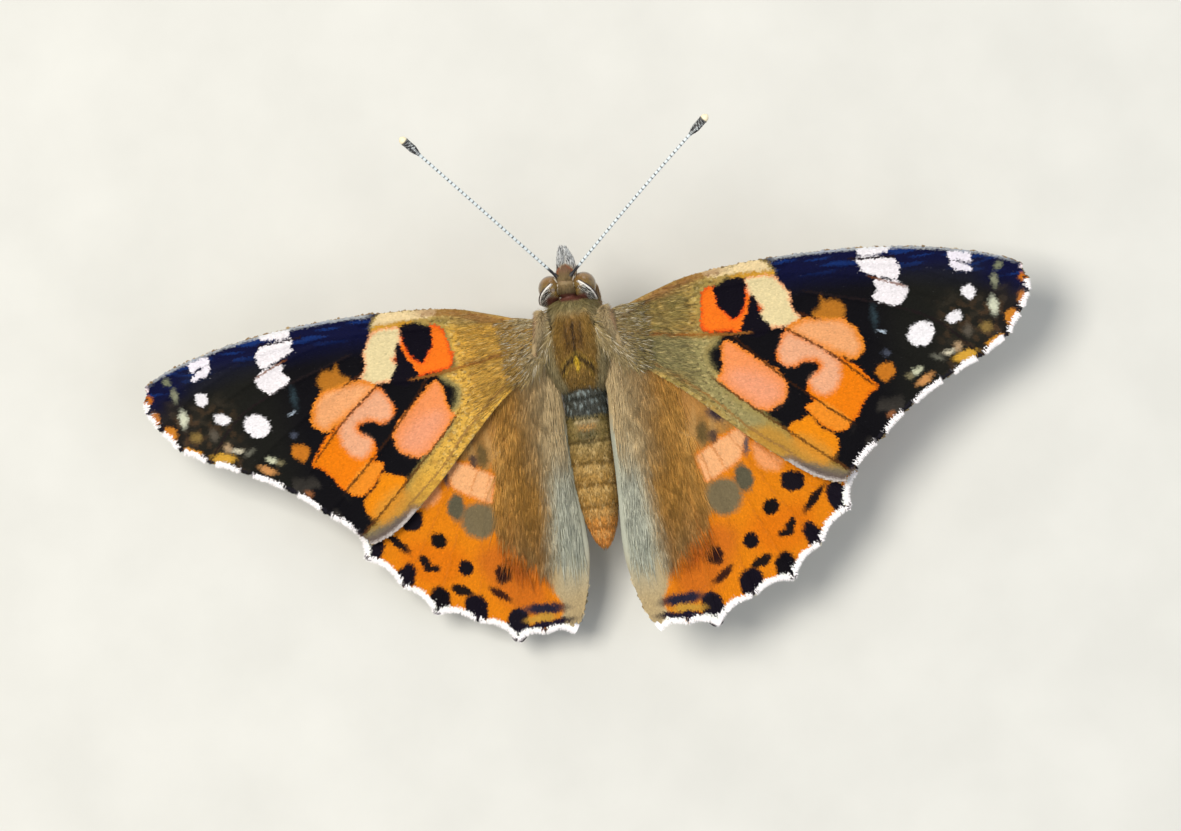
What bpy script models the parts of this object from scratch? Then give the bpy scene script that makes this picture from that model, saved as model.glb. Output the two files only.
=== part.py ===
# Painted lady butterfly, a still life-size model with its wings spread.
# Metres, +Z up, +Y towards the head, +X to the butterfly's right.
# The body is laid out in a body frame that is pitched head-up, and each wing
# lies in a plane of its own that swings on the wing's root.

import math

import bmesh
import bpy
from mathutils import Euler, Matrix, Vector
from mathutils.geometry import delaunay_2d_cdt

MM = 0.001
CURVE_STEPS = 12

# Stance: how high the thorax is carried, and how far the body leans head-up
THORAX_HEIGHT = 9.8 * MM
BODY_PITCH = math.radians(11.0)
SEAM_GAP = 0.3 * MM

# Body sizes in the body frame: half width, half length, half height, centre
THORAX_HALF = (2.85 * MM, 3.6 * MM, 2.65 * MM)
THORAX_CENTRE = (0.0, -0.3 * MM, 0.0)
THORAX_FULLNESS = 0.42
THORAX_NECK = 0.16
THORAX_BACK = 0.12
HEAD_SHIFT = -0.25 * MM
HEAD_HALF = (1.15 * MM, 1.3 * MM, 1.4 * MM)
HEAD_CENTRE = (0.0, 4.15 * MM, -0.15 * MM)
EYE_HALF = (0.93 * MM, 1.0 * MM, 1.25 * MM)
EYE_CENTRE = (1.25 * MM, 3.95 * MM, -0.1 * MM)
ABDOMEN_FRONT = -2.6 * MM
ABDOMEN_LENGTH = 13.1 * MM
ABDOMEN_HALF_WIDTH = 1.8 * MM
ABDOMEN_HALF_HEIGHT = 1.6 * MM
WAIST = 0.84
ABDOMEN_BLUNT_START = 16.0
ABDOMEN_TAPER = 5
ABDOMEN_START_DROP = 0.2 * MM
ABDOMEN_SAG = 0.55 * MM
ABDOMEN_RINGS = 8
RING_GROOVE = 0.05

# Feelers
ANTENNA_LENGTH = 16.3 * MM
ANTENNA_RISE = {"left": math.radians(22.0), "right": math.radians(12.0)}
ANTENNA_SPREAD = {"left": math.radians(38.7), "right": math.radians(48.6)}
ANTENNA_BASE = (0.7 * MM, 5.0 * MM, 0.85 * MM)
ANTENNA_RADIUS = 0.25 * MM
CLUB_RADIUS = 0.36 * MM
CLUB_LENGTH = 2.3 * MM
ANTENNA_STATIONS = (0.0, 0.15, 0.3, 0.45, 0.6, 0.75, 0.855, 0.88, 0.92, 0.96, 0.99, 1.0)
ANTENNA_SOCKET = 0.8 * MM
ANTENNA_SOCKET_SWELL = 1.3
CLUB_BLUNTNESS = 0.4
CLUB_END = 0.5
ANTENNA_BOW = -0.08 * MM
ANTENNA_ARCH = 0.5 * MM

# Wings: root in the body frame, and the swing of each wing's plane in the world
WING_ROOT = (3.0 * MM, 1.0 * MM, 1.5 * MM)
HINDWING_DROP = 1.0 * MM
WING_POSE = {
    # side: trailing edge down, outer edge down, swept back (fore and hind)
    "left": (math.radians(17.0), math.radians(7.3), math.radians(3.4), math.radians(0.6)),
    "right": (math.radians(8.0), math.radians(7.0), 0.0, 0.0),
}
MEMBRANE = 0.5 * MM
VEIN_THICKNESS = 0.8 * MM
VEIN_THICKNESS_AT_MARGIN = 0.64 * MM
VEIN_HALF_WIDTH = 0.42 * MM
POINT_MERGE = 0.05 * MM
FOOT_CLEAR = 0.36 * MM
FOOT_TO_VEIN = 0.3 * MM
FOOT_TO_EDGE = 0.35 * MM
WING_STEP = 2.0 * MM
MARGIN_STEP = 0.75 * MM
MESH_SPACING = 2.6 * MM
FOREWING_SCALLOP = 0.18 * MM
HINDWING_SCALLOP = 0.5 * MM
FULL_SCALLOP = 2.5 * MM
TIP_CURL = 0.6 * MM
WING_SPAN = 31.3 * MM
FOLD_DEPTH = 0.5 * MM
FOLD_WIDTH = 2.2 * MM
FOLD_SLANT = 0.1

# Forewing outline and veins in its own plane, in millimetres from the root:
# x runs out along the wing and y runs towards the head.
FOREWING = {
    "lead": [(-1.5, 0.5), (0.0, 0.8), (3.0, 1.9), (6.8, 2.9), (14.4, 3.4), (21.8, 3.0),
             (27.4, 1.9), (30.3, 0.75), (31.2, -0.4)],
    "vein ends": [(31.2, -0.4), (31.2, -1.5), (30.45, -2.95), (29.15, -4.8), (26.95, -6.15),
                  (24.4, -7.3), (21.1, -9.25), (18.9, -11.15), (16.4, -13.3)],
    "trail": [(16.4, -13.3), (15.5, -13.8), (14.2, -13.5), (12.8, -12.8), (11.5, -11.8),
              (9.4, -10.1), (7.2, -8.1), (4.2, -5.4), (2.2, -3.9), (-0.2, -1.9), (-1.5, -1.3)],
    "veins": {
        "subcosta": [(-0.6, 0.3), (5.3, 1.95), (9.8, 2.55), (13.0, 2.75)],
        "radius": [(-0.8, -0.1), (5.2, 1.2), (9.7, 1.75), (13.9, 2.0), (18.0, 2.1), (21.7, 1.7)],
        "radius 3": [(21.7, 1.7), (25.7, 0.9), (29.2, -0.5), (31.2, -1.5)],
        "radius 4": [(21.7, 1.7), (27.0, -0.6), (30.45, -2.95)],
        "radius 5": [(13.9, 2.0), (17.2, 1.5), (20.0, 0.6), (25.3, -1.7), (29.15, -4.8)],
        "cell end": [(13.9, 2.0), (13.9, 0.6), (13.3, -0.9), (12.4, -2.0)],
        "media 1": [(13.9, 0.6), (19.8, -1.1), (23.7, -2.9), (26.95, -6.15)],
        "media 2": [(13.3, -0.9), (17.3, -2.8), (21.5, -5.2), (24.4, -7.3)],
        "cubitus": [(-0.8, -0.5), (3.3, -1.3), (8.3, -1.9), (12.4, -2.0)],
        "media 3": [(12.4, -2.0), (15.7, -4.4), (19.3, -7.8), (21.1, -9.25)],
        "cubitus 1": [(8.3, -1.9), (12.0, -5.7), (16.9, -9.8), (18.9, -11.15)],
        "cubitus 2": [(3.3, -1.3), (7.3, -5.6), (12.7, -10.3), (16.4, -13.3)],
        "anal": [(1.2, -2.3), (3.2, -3.9), (6.2, -6.2), (8.9, -8.9), (12.2, -11.4)],
    },
}

# Hindwing, measured from the same root
HINDWING = {
    "lead": [(-1.5, -1.0), (0.4, -1.2), (3.2, -2.1), (8.9, -5.0), (13.6, -8.4), (16.4, -11.1),
             (16.95, -13.2)],
    "vein ends": [(16.95, -13.2), (16.05, -15.95), (13.5, -18.35), (11.2, -20.8), (8.05, -21.6),
                  (5.0, -23.6), (2.8, -23.1), (0.65, -23.4)],
    "trail": [(0.65, -23.4), (-0.4, -21.1), (-1.05, -18.9), (-1.35, -16.4), (-1.2, -11.6),
              (-1.2, -7.9), (-1.1, -5.0), (-1.5, -3.4)],
    "veins": {
        "subcosta": [(-0.5, -1.9), (5.8, -4.3), (12.0, -8.4), (15.3, -11.5)],
        "radius": [(0.8, -2.6), (5.8, -6.0), (11.3, -9.9), (16.95, -13.2)],
        "media 1": [(5.8, -6.0), (9.0, -9.9), (12.3, -13.2), (16.05, -15.95)],
        "cell end": [(5.8, -6.0), (6.5, -7.8), (5.8, -9.5)],
        "media 2": [(6.5, -7.8), (8.5, -11.0), (10.7, -14.6), (13.5, -18.35)],
        "cubitus": [(-0.4, -2.5), (1.9, -5.3), (3.4, -8.3), (5.8, -9.5)],
        "media 3": [(5.8, -9.5), (7.5, -12.7), (9.3, -16.7), (11.2, -20.8)],
        "cubitus 1": [(4.8, -9.2), (6.2, -13.7), (6.9, -17.5), (8.05, -21.6)],
        "cubitus 2": [(3.4, -8.3), (4.0, -13.0), (4.4, -17.9), (5.0, -23.6)],
        "anal": [(-0.3, -3.6), (0.7, -9.7), (1.6, -16.5), (2.8, -23.1)],
    },
}

# Legs: hips in the body frame, the other joints in the world, for the right side
WALKING_LEGS = {
    "midleg": {
        "hip": (0.7 * MM, 0.4 * MM, -1.5 * MM),
        "joints": [(1.7 * MM, 0.9 * MM, 6.9 * MM), (5.4 * MM, 2.3 * MM, 7.8 * MM),
                   (6.7 * MM, 3.2 * MM, 2.3 * MM), (7.5 * MM, 3.7 * MM, 0.4 * MM),
                   (9.3 * MM, 4.5 * MM, 0.17 * MM)],
    },
    "hindleg": {
        "hip": (0.7 * MM, -1.5 * MM, -1.5 * MM),
        "joints": [(1.5 * MM, -1.8 * MM, 6.7 * MM), (4.5 * MM, -4.1 * MM, 6.9 * MM),
                   (5.8 * MM, -7.3 * MM, 2.2 * MM), (6.5 * MM, -8.6 * MM, 0.4 * MM),
                   (7.6 * MM, -10.4 * MM, 0.17 * MM)],
    },
}
WALKING_RADII = (0.5 * MM, 0.5 * MM, 0.36 * MM, 0.3 * MM, 0.26 * MM, 0.24 * MM)
THIGH_SWELL = 1.0
KNEE_REACH = 0.5 * MM
# The forelegs are stunted and folded under the front of the thorax
FORELEG_PATH = [(0.6, 1.4, -1.5), (1.1, 2.5, -2.7), (1.45, 1.2, -3.6), (1.5, 2.9, -3.9),
                (1.4, 3.7, -3.8)]
FORELEG_STEP = 0.55 * MM
FORELEG_RADII = (0.4 * MM, 0.36 * MM, 0.32 * MM, 0.28 * MM, 0.2 * MM)

# Mouthparts, in millimetres in the body frame, for the right side
PALP_PATH = [(0.45, 4.2, -0.9), (0.55, 5.0, -1.1), (0.5, 5.8, -0.9), (0.42, 6.4, -0.5),
             (0.33, 6.85, -0.1)]
PALP_RADII = (0.3 * MM, 0.34 * MM, 0.34 * MM, 0.27 * MM, 0.1 * MM)
COIL_CENTRE = (0.0, 4.5 * MM, -2.65 * MM)
COIL_OUTER = 0.95 * MM
COIL_INNER = 0.3 * MM
COIL_TURNS = 1.15
COIL_START = math.radians(70.0)
COIL_STEPS = 18
COIL_RADIUS = 0.2 * MM

COLOURS = {
    # node name start: linear colour, roughness
    "head": ((0.16, 0.11, 0.06), 0.8),
    "thorax": ((0.22, 0.15, 0.07), 0.85),
    "abdomen": ((0.28, 0.16, 0.05), 0.8),
    "eye": ((0.12, 0.09, 0.03), 0.3),
    "palp": ((0.3, 0.27, 0.24), 0.8),
    "proboscis": ((0.12, 0.06, 0.02), 0.4),
    "antenna": ((0.1, 0.11, 0.13), 0.6),
    "forewing": ((0.72, 0.24, 0.03), 0.7),
    "hindwing": ((0.6, 0.22, 0.05), 0.7),
    "foreleg": ((0.25, 0.17, 0.09), 0.8),
    "midleg": ((0.35, 0.24, 0.12), 0.6),
    "hindleg": ((0.35, 0.24, 0.12), 0.6),
}


# Scene housekeeping

def clear_scene():
    for obj in list(bpy.data.objects):
        bpy.data.objects.remove(obj, do_unlink=True)


def new_collection(name):
    collection = bpy.data.collections.new(name)
    bpy.context.scene.collection.children.link(collection)
    return collection


def add_object(name, mesh, collection):
    obj = bpy.data.objects.new(name, mesh)
    collection.objects.link(obj)
    return obj


def give_material(obj):
    colour, roughness = COLOURS[obj.name.split("_")[0]]
    material = bpy.data.materials.new(obj.name)
    material.use_nodes = True
    shader = material.node_tree.nodes["Principled BSDF"]
    shader.inputs["Base Color"].default_value = (*colour, 1.0)
    shader.inputs["Roughness"].default_value = roughness
    material.diffuse_color = (*colour, 1.0)
    obj.data.materials.clear()
    obj.data.materials.append(material)


def evaluated_mesh(obj):
    bpy.context.view_layer.update()
    graph = bpy.context.evaluated_depsgraph_get()
    return bpy.data.meshes.new_from_object(obj.evaluated_get(graph))


def keep_largest_body(mesh):
    bm = bmesh.new()
    bm.from_mesh(mesh)
    bm.faces.ensure_lookup_table()
    unseen = set(bm.faces)
    bodies = []
    while unseen:
        seed = unseen.pop()
        body = [seed]
        stack = [seed]
        while stack:
            for edge in stack.pop().edges:
                for face in edge.link_faces:
                    if face in unseen:
                        unseen.remove(face)
                        body.append(face)
                        stack.append(face)
        bodies.append(body)
    largest = max(bodies, key=lambda body: sum(face.calc_area() for face in body))
    keep = set(largest)
    bmesh.ops.delete(bm, geom=[face for face in bm.faces if face not in keep], context="FACES")
    bm.to_mesh(mesh)
    bm.free()


# Clearance: a grown copy of one node trims its neighbour to an even seam

def grown_cutter(obj, gap, cutters):
    mesh = evaluated_mesh(obj)
    bm = bmesh.new()
    bm.from_mesh(mesh)
    bmesh.ops.remove_doubles(bm, verts=bm.verts, dist=gap * 0.01)
    bm.normal_update()
    shifts = [vert.normal * gap for vert in bm.verts]
    for vert, shift in zip(bm.verts, shifts):
        vert.co += shift
    bm.to_mesh(mesh)
    bm.free()
    cutter = add_object(obj.name + " clearance", mesh, cutters)
    cutter.matrix_world = obj.matrix_world
    cutter.hide_render = True
    cutter.display_type = "WIRE"
    return cutter


def trim(obj, cutter):
    cut = obj.modifiers.new("seam", "BOOLEAN")
    cut.operation = "DIFFERENCE"
    cut.object = cutter
    mesh = evaluated_mesh(obj)
    obj.modifiers.clear()
    obj.data = mesh
    keep_largest_body(mesh)


# Curves through a few named points

def spline_points(points):
    vectors = [Vector(point) for point in points]
    padded = [2 * vectors[0] - vectors[1]] + vectors + [2 * vectors[-1] - vectors[-2]]
    line = [vectors[0]]
    for before, start, end, after in zip(padded, padded[1:], padded[2:], padded[3:]):
        for step in range(1, CURVE_STEPS + 1):
            t = step / CURVE_STEPS
            line.append(0.5 * (2 * start + (end - before) * t
                               + (2 * before - 5 * start + 4 * end - after) * t * t
                               + (3 * start - before - 3 * end + after) * t ** 3))
    return line


def evenly_spaced(line, step):
    lengths = [0.0]
    for start, end in zip(line, line[1:]):
        lengths.append(lengths[-1] + (end - start).length)
    count = max(1, round(lengths[-1] / step))
    spaced = []
    index = 0
    for number in range(count + 1):
        target = lengths[-1] * number / count
        while index < len(line) - 2 and lengths[index + 1] < target:
            index += 1
        span = max(lengths[index + 1] - lengths[index], 1e-12)
        spaced.append(line[index].lerp(line[index + 1], (target - lengths[index]) / span))
    return spaced


def tube(name, points, radii, collection):
    curve = bpy.data.curves.new(name, "CURVE")
    curve.dimensions = "3D"
    curve.bevel_depth = 1.0
    curve.bevel_resolution = 2
    curve.use_fill_caps = True
    spline = curve.splines.new("POLY")
    spline.points.add(len(points) - 1)
    for point, place, radius in zip(spline.points, points, radii):
        point.co = (*place, 1.0)
        point.radius = radius
    guide = bpy.data.objects.new(name + " path", curve)
    collection.objects.link(guide)
    mesh = evaluated_mesh(guide)
    bpy.data.objects.remove(guide, do_unlink=True)
    bm = bmesh.new()
    bm.from_mesh(mesh)
    bmesh.ops.remove_doubles(bm, verts=bm.verts, dist=0.001 * MM)
    bmesh.ops.recalc_face_normals(bm, faces=bm.faces)
    bm.to_mesh(mesh)
    bm.free()
    mesh.shade_smooth()
    return add_object(name, mesh, collection)


# Wings

def wing_outline(wing):
    lead = evenly_spaced(spline_points([Vector(p) * MM for p in wing["lead"]]), WING_STEP)
    trail = evenly_spaced(spline_points([Vector(p) * MM for p in wing["trail"]]), WING_STEP)
    return lead, trail


def scalloped_margin(ends, depth):
    margin = []
    for start, end in zip(ends, ends[1:]):
        start = Vector(start) * MM
        end = Vector(end) * MM
        chord = end - start
        inward = Vector((chord.y, -chord.x)).normalized()
        count = max(2, round(chord.length / MARGIN_STEP))
        for number in range(count):
            t = number / count
            dip = depth * math.sin(math.pi * t) * min(1.0, chord.length / FULL_SCALLOP)
            margin.append(start + chord * t + inward * dip)
    return margin


def inside(point, outline):
    within = False
    for a, b in zip(outline, outline[1:] + outline[:1]):
        if (a.y > point.y) != (b.y > point.y):
            if point.x < (b.x - a.x) * (point.y - a.y) / (b.y - a.y) + a.x:
                within = not within
    return within


def distance_to_line(point, line):
    best = 1.0
    for a, b in zip(line, line[1:]):
        along = b - a
        t = max(0.0, min(1.0, (point - a).dot(along) / along.length_squared))
        best = min(best, (a + along * t - point).length)
    return best


def wing_sheet(wing, scallop):
    # The flat plan: outline, then vein crests with a foot on either side, then
    # filling points, all joined by one constrained triangulation.
    lead, trail = wing_outline(wing)
    outline = lead[:-1] + scalloped_margin(wing["vein ends"], scallop) + trail
    points = list(outline)
    weights = [MEMBRANE] * len(outline)
    edges = []
    loop = list(range(len(outline)))

    def point_index(place, thickness):
        for index, other in enumerate(points):
            if (other - place).length < POINT_MERGE:
                weights[index] = max(weights[index], thickness)
                return index
        points.append(place)
        weights.append(thickness)
        return len(points) - 1

    crests = []
    for line in wing["veins"].values():
        crest = evenly_spaced(spline_points([Vector(p) * MM for p in line]), WING_STEP)
        crests.append(crest)
        previous = None
        for place in crest:
            outward = min(1.0, place.length / WING_SPAN)
            thickness = VEIN_THICKNESS + (VEIN_THICKNESS_AT_MARGIN - VEIN_THICKNESS) * outward
            index = point_index(place, thickness)
            if previous is not None and previous != index:
                edges.append((previous, index))
            previous = index

    border = outline + outline[:1]
    for crest in crests:
        for before, place, after in zip(crest, crest[1:], crest[2:]):
            along = (after - before).normalized()
            for side in (-1, 1):
                foot = place + Vector((-along.y, along.x)) * VEIN_HALF_WIDTH * side
                clear = min((other - foot).length for other in points) > FOOT_CLEAR
                free = all(distance_to_line(foot, other) > FOOT_TO_VEIN for other in crests)
                off_edge = distance_to_line(foot, border) > FOOT_TO_EDGE
                if clear and free and off_edge and inside(foot, outline):
                    points.append(foot)
                    weights.append(MEMBRANE)

    row_height = MESH_SPACING * math.sqrt(0.75)
    for row in range(-12, 4):
        for column in range(-2, 14):
            place = Vector(((column + 0.5 * (row % 2)) * MESH_SPACING, row * row_height))
            if not inside(place, outline):
                continue
            if min((other - place).length for other in points) > 0.55 * MESH_SPACING:
                points.append(place)
                weights.append(MEMBRANE)

    flat, _, faces, sources, _, _ = delaunay_2d_cdt(points, edges, [loop], 1, 1e-7)
    thickness = [max(weights[i] for i in source) if source else MEMBRANE for source in sources]
    return flat, faces, thickness


def forewing_height(x, y):
    # The blade arches a little and its tip curls down
    return -TIP_CURL * (x / WING_SPAN) ** 2


def hindwing_height(x, y):
    # The inner edge folds down beside the abdomen
    crest = -FOLD_SLANT * y
    fold = max(0.0, min(1.0, (crest - x) / FOLD_WIDTH))
    return -TIP_CURL * (x / WING_SPAN) ** 2 - FOLD_DEPTH * fold * fold


def make_wing(name, wing, scallop, height, side, collection):
    flat, faces, thickness = wing_sheet(wing, scallop)
    mirror = -1 if side == "left" else 1
    bm = bmesh.new()
    layer = bm.verts.layers.deform.new()
    verts = []
    for place, thick in zip(flat, thickness):
        vert = bm.verts.new((place.x * mirror, place.y, height(place.x, place.y)))
        vert[layer][0] = thick / VEIN_THICKNESS
        verts.append(vert)
    for face in faces:
        bm.faces.new([verts[index] for index in face])
    bmesh.ops.recalc_face_normals(bm, faces=bm.faces)
    mesh = bpy.data.meshes.new(name)
    bm.to_mesh(mesh)
    bm.free()
    obj = add_object(name, mesh, collection)
    obj.vertex_groups.new(name="thickness")
    shell = obj.modifiers.new("membrane", "SOLIDIFY")
    shell.thickness = VEIN_THICKNESS
    shell.offset = 0.0
    shell.vertex_group = "thickness"
    shell.use_even_offset = False
    solid = evaluated_mesh(obj)
    obj.modifiers.clear()
    obj.data = solid
    return obj


# Body forms, shaped from spheres

def stretched_sphere(name, segments, rings, shape, collection):
    # shape(unit) moves each point of a unit sphere whose poles lie along Y
    bm = bmesh.new()
    bmesh.ops.create_uvsphere(bm, u_segments=segments, v_segments=rings, radius=1.0,
                              matrix=Matrix.Rotation(math.radians(-90.0), 4, "X"))
    for vert in bm.verts:
        vert.co = shape(vert.co.copy())
    bmesh.ops.recalc_face_normals(bm, faces=bm.faces)
    mesh = bpy.data.meshes.new(name)
    bm.to_mesh(mesh)
    bm.free()
    mesh.shade_smooth()
    return add_object(name, mesh, collection)


def ellipsoid(half, centre):
    return lambda unit: Vector(tuple(unit[i] * half[i] + centre[i] for i in range(3)))


def thorax_shape(unit):
    # Fuller than a ball, with blunt shoulders behind the head
    full = max(1e-6, math.hypot(unit.x, unit.z)) ** -THORAX_FULLNESS
    neck = 1.0 - THORAX_NECK * max(0.0, unit.y) ** 2
    back = 1.0 - THORAX_BACK * max(0.0, -unit.y) ** 2
    return Vector((unit.x * full * THORAX_HALF[0] * neck * back,
                   unit.y * THORAX_HALF[1] + THORAX_CENTRE[1],
                   unit.z * full * THORAX_HALF[2] * neck * back + THORAX_CENTRE[2]))


def abdomen_shape(unit):
    # Even rings from the waist to the tail, fullest past the middle
    along = math.acos(max(-1.0, min(1.0, unit.y))) / math.pi
    girth = math.hypot(unit.x, unit.z)
    if girth < 1e-6:
        across = Vector((0.0, 0.0, 0.0))
    else:
        waist = WAIST + (1.0 - WAIST) * math.sin(math.pi / 2 * min(1.0, along * 2.0))
        start = min(1.0, along * ABDOMEN_BLUNT_START)
        start = math.sqrt(start * (2.0 - start))
        taper = math.sqrt(max(0.0, 1.0 - along ** ABDOMEN_TAPER))
        groove = 1.0 - RING_GROOVE * max(0.0, math.cos(2 * math.pi * along * ABDOMEN_RINGS)) ** 4
        across = Vector((unit.x, 0.0, unit.z)) / girth * waist * start * taper * groove
    sag = -ABDOMEN_START_DROP - ABDOMEN_SAG * along
    return Vector((across.x * ABDOMEN_HALF_WIDTH,
                   ABDOMEN_FRONT - along * ABDOMEN_LENGTH,
                   across.z * ABDOMEN_HALF_HEIGHT + sag))


# Legs, feelers and mouthparts

def knee_points(joints, radii):
    # Each bend gets a point a little before and after it, so it turns softly
    points = [joints[0]]
    widths = [radii[0]]
    for number in range(1, len(joints) - 1):
        joint = joints[number]
        before = (joints[number - 1] - joint).normalized() * KNEE_REACH
        after = (joints[number + 1] - joint).normalized() * KNEE_REACH
        points += [joint + before, joint + (before + after) * 0.25, joint + after]
        widths += [radii[number]] * 3
    points.append(joints[-1])
    widths.append(radii[-1])
    return points, widths


def make_walking_leg(kind, side, to_world, collection):
    mirror = -1 if side == "left" else 1
    leg = WALKING_LEGS[kind]
    joints = [to_world @ Vector((leg["hip"][0] * mirror, leg["hip"][1], leg["hip"][2]))]
    joints += [Vector((x * mirror, y, z)) for x, y, z in leg["joints"]]
    points, widths = knee_points(joints, WALKING_RADII)
    # One more point in the middle of the thigh, between the first two bends
    thigh = 4
    points.insert(thigh, (points[thigh - 1] + points[thigh]) / 2)
    widths.insert(thigh, widths[thigh - 1] * THIGH_SWELL)
    obj = tube(kind + "_" + side, points, widths, collection)
    stand_flat(obj.data)
    return obj


def stand_flat(mesh):
    # The foot is cut level with the floor, which leaves its small flat sole
    bm = bmesh.new()
    bm.from_mesh(mesh)
    geometry = bm.verts[:] + bm.edges[:] + bm.faces[:]
    cut = bmesh.ops.bisect_plane(bm, geom=geometry, plane_co=(0.0, 0.0, 0.0),
                                 plane_no=(0.0, 0.0, 1.0), clear_inner=True, dist=1e-7)
    rim = [item for item in cut["geom_cut"] if isinstance(item, bmesh.types.BMEdge)]
    bmesh.ops.holes_fill(bm, edges=rim)
    bmesh.ops.recalc_face_normals(bm, faces=bm.faces)
    bm.to_mesh(mesh)
    bm.free()


def make_foreleg(side, collection):
    mirror = -1 if side == "left" else 1
    joints = [Vector((x * mirror, y, z)) * MM for x, y, z in FORELEG_PATH]
    points = evenly_spaced(spline_points(joints), FORELEG_STEP)
    last = len(points) - 1
    widths = []
    for number in range(len(points)):
        place = number / last * (len(FORELEG_RADII) - 1)
        index = min(int(place), len(FORELEG_RADII) - 2)
        low, high = FORELEG_RADII[index:index + 2]
        widths.append(low + (high - low) * (place - index))
    return tube("foreleg_" + side, points, widths, collection)


def make_antenna(side, collection):
    mirror = -1 if side == "left" else 1
    spread = ANTENNA_SPREAD[side]
    base = Vector((ANTENNA_BASE[0] * mirror, ANTENNA_BASE[1], ANTENNA_BASE[2]))
    out = Vector((mirror * math.sin(spread), math.cos(spread), 0.0))
    rise = ANTENNA_RISE[side]
    aim = out * math.cos(rise) + Vector((0.0, 0.0, math.sin(rise)))
    bow = Vector((mirror * math.cos(spread), -math.sin(spread), 0.0)) * ANTENNA_BOW
    bow.z = ANTENNA_ARCH
    points = [base - aim * ANTENNA_SOCKET]
    widths = [ANTENNA_RADIUS * ANTENNA_SOCKET_SWELL]
    for along in ANTENNA_STATIONS:
        points.append(base + aim * ANTENNA_LENGTH * along + bow * math.sin(math.pi * along))
        from_tip = (1.0 - along) * ANTENNA_LENGTH / CLUB_LENGTH
        swell = max(0.0, 1.0 - from_tip) ** CLUB_BLUNTNESS
        widths.append(ANTENNA_RADIUS + (CLUB_RADIUS - ANTENNA_RADIUS) * swell)
    widths[-1] = CLUB_RADIUS * CLUB_END
    return tube("antenna_" + side, points, widths, collection)


def make_palp(side, collection):
    mirror = -1 if side == "left" else 1
    line = [Vector((x * mirror, y, z)) * MM for x, y, z in PALP_PATH]
    return tube("palp_" + side, line, PALP_RADII, collection)


def make_proboscis(collection):
    centre = Vector(COIL_CENTRE)
    points = [centre + Vector((0.0, COIL_OUTER * 0.4, COIL_OUTER * 1.9))]
    for step in range(COIL_STEPS + 1):
        t = step / COIL_STEPS
        angle = COIL_START - 2 * math.pi * COIL_TURNS * t
        radius = COIL_OUTER + (COIL_INNER - COIL_OUTER) * t
        points.append(centre + Vector((0.0, math.cos(angle), math.sin(angle))) * radius)
    return tube("proboscis", points, [COIL_RADIUS] * len(points), collection)


def make_eye(side, collection):
    mirror = -1 if side == "left" else 1
    centre = (EYE_CENTRE[0] * mirror, EYE_CENTRE[1], EYE_CENTRE[2])
    return stretched_sphere("eye_" + side, 16, 12, ellipsoid(EYE_HALF, centre), collection)


def wing_matrix(side, kind, to_world):
    mirror = -1 if side == "left" else 1
    trail, droop, sweep_fore, sweep_hind = WING_POSE[side]
    sweep = sweep_fore if kind == "forewing" else sweep_hind
    swing = Euler((trail, droop * mirror, sweep), "ZYX").to_matrix().to_4x4()
    root = to_world @ Vector((WING_ROOT[0] * mirror, WING_ROOT[1], WING_ROOT[2]))
    drop = HINDWING_DROP if kind == "hindwing" else 0.0
    return Matrix.Translation(root) @ swing @ Matrix.Translation((0.0, 0.0, -drop))


def stand_on_origin(nodes, stance):
    # The whole model moves so that the middle of its footprint is the origin
    bpy.context.view_layer.update()
    corners = []
    for obj in nodes:
        corners += [obj.matrix_world @ vert.co for vert in obj.data.vertices]
    middle_x = (min(c.x for c in corners) + max(c.x for c in corners)) / 2
    middle_y = (min(c.y for c in corners) + max(c.y for c in corners)) / 2
    lowest = min(c.z for c in corners)
    stance.location = (-middle_x, -middle_y, -lowest)
    bpy.context.view_layer.update()


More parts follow.
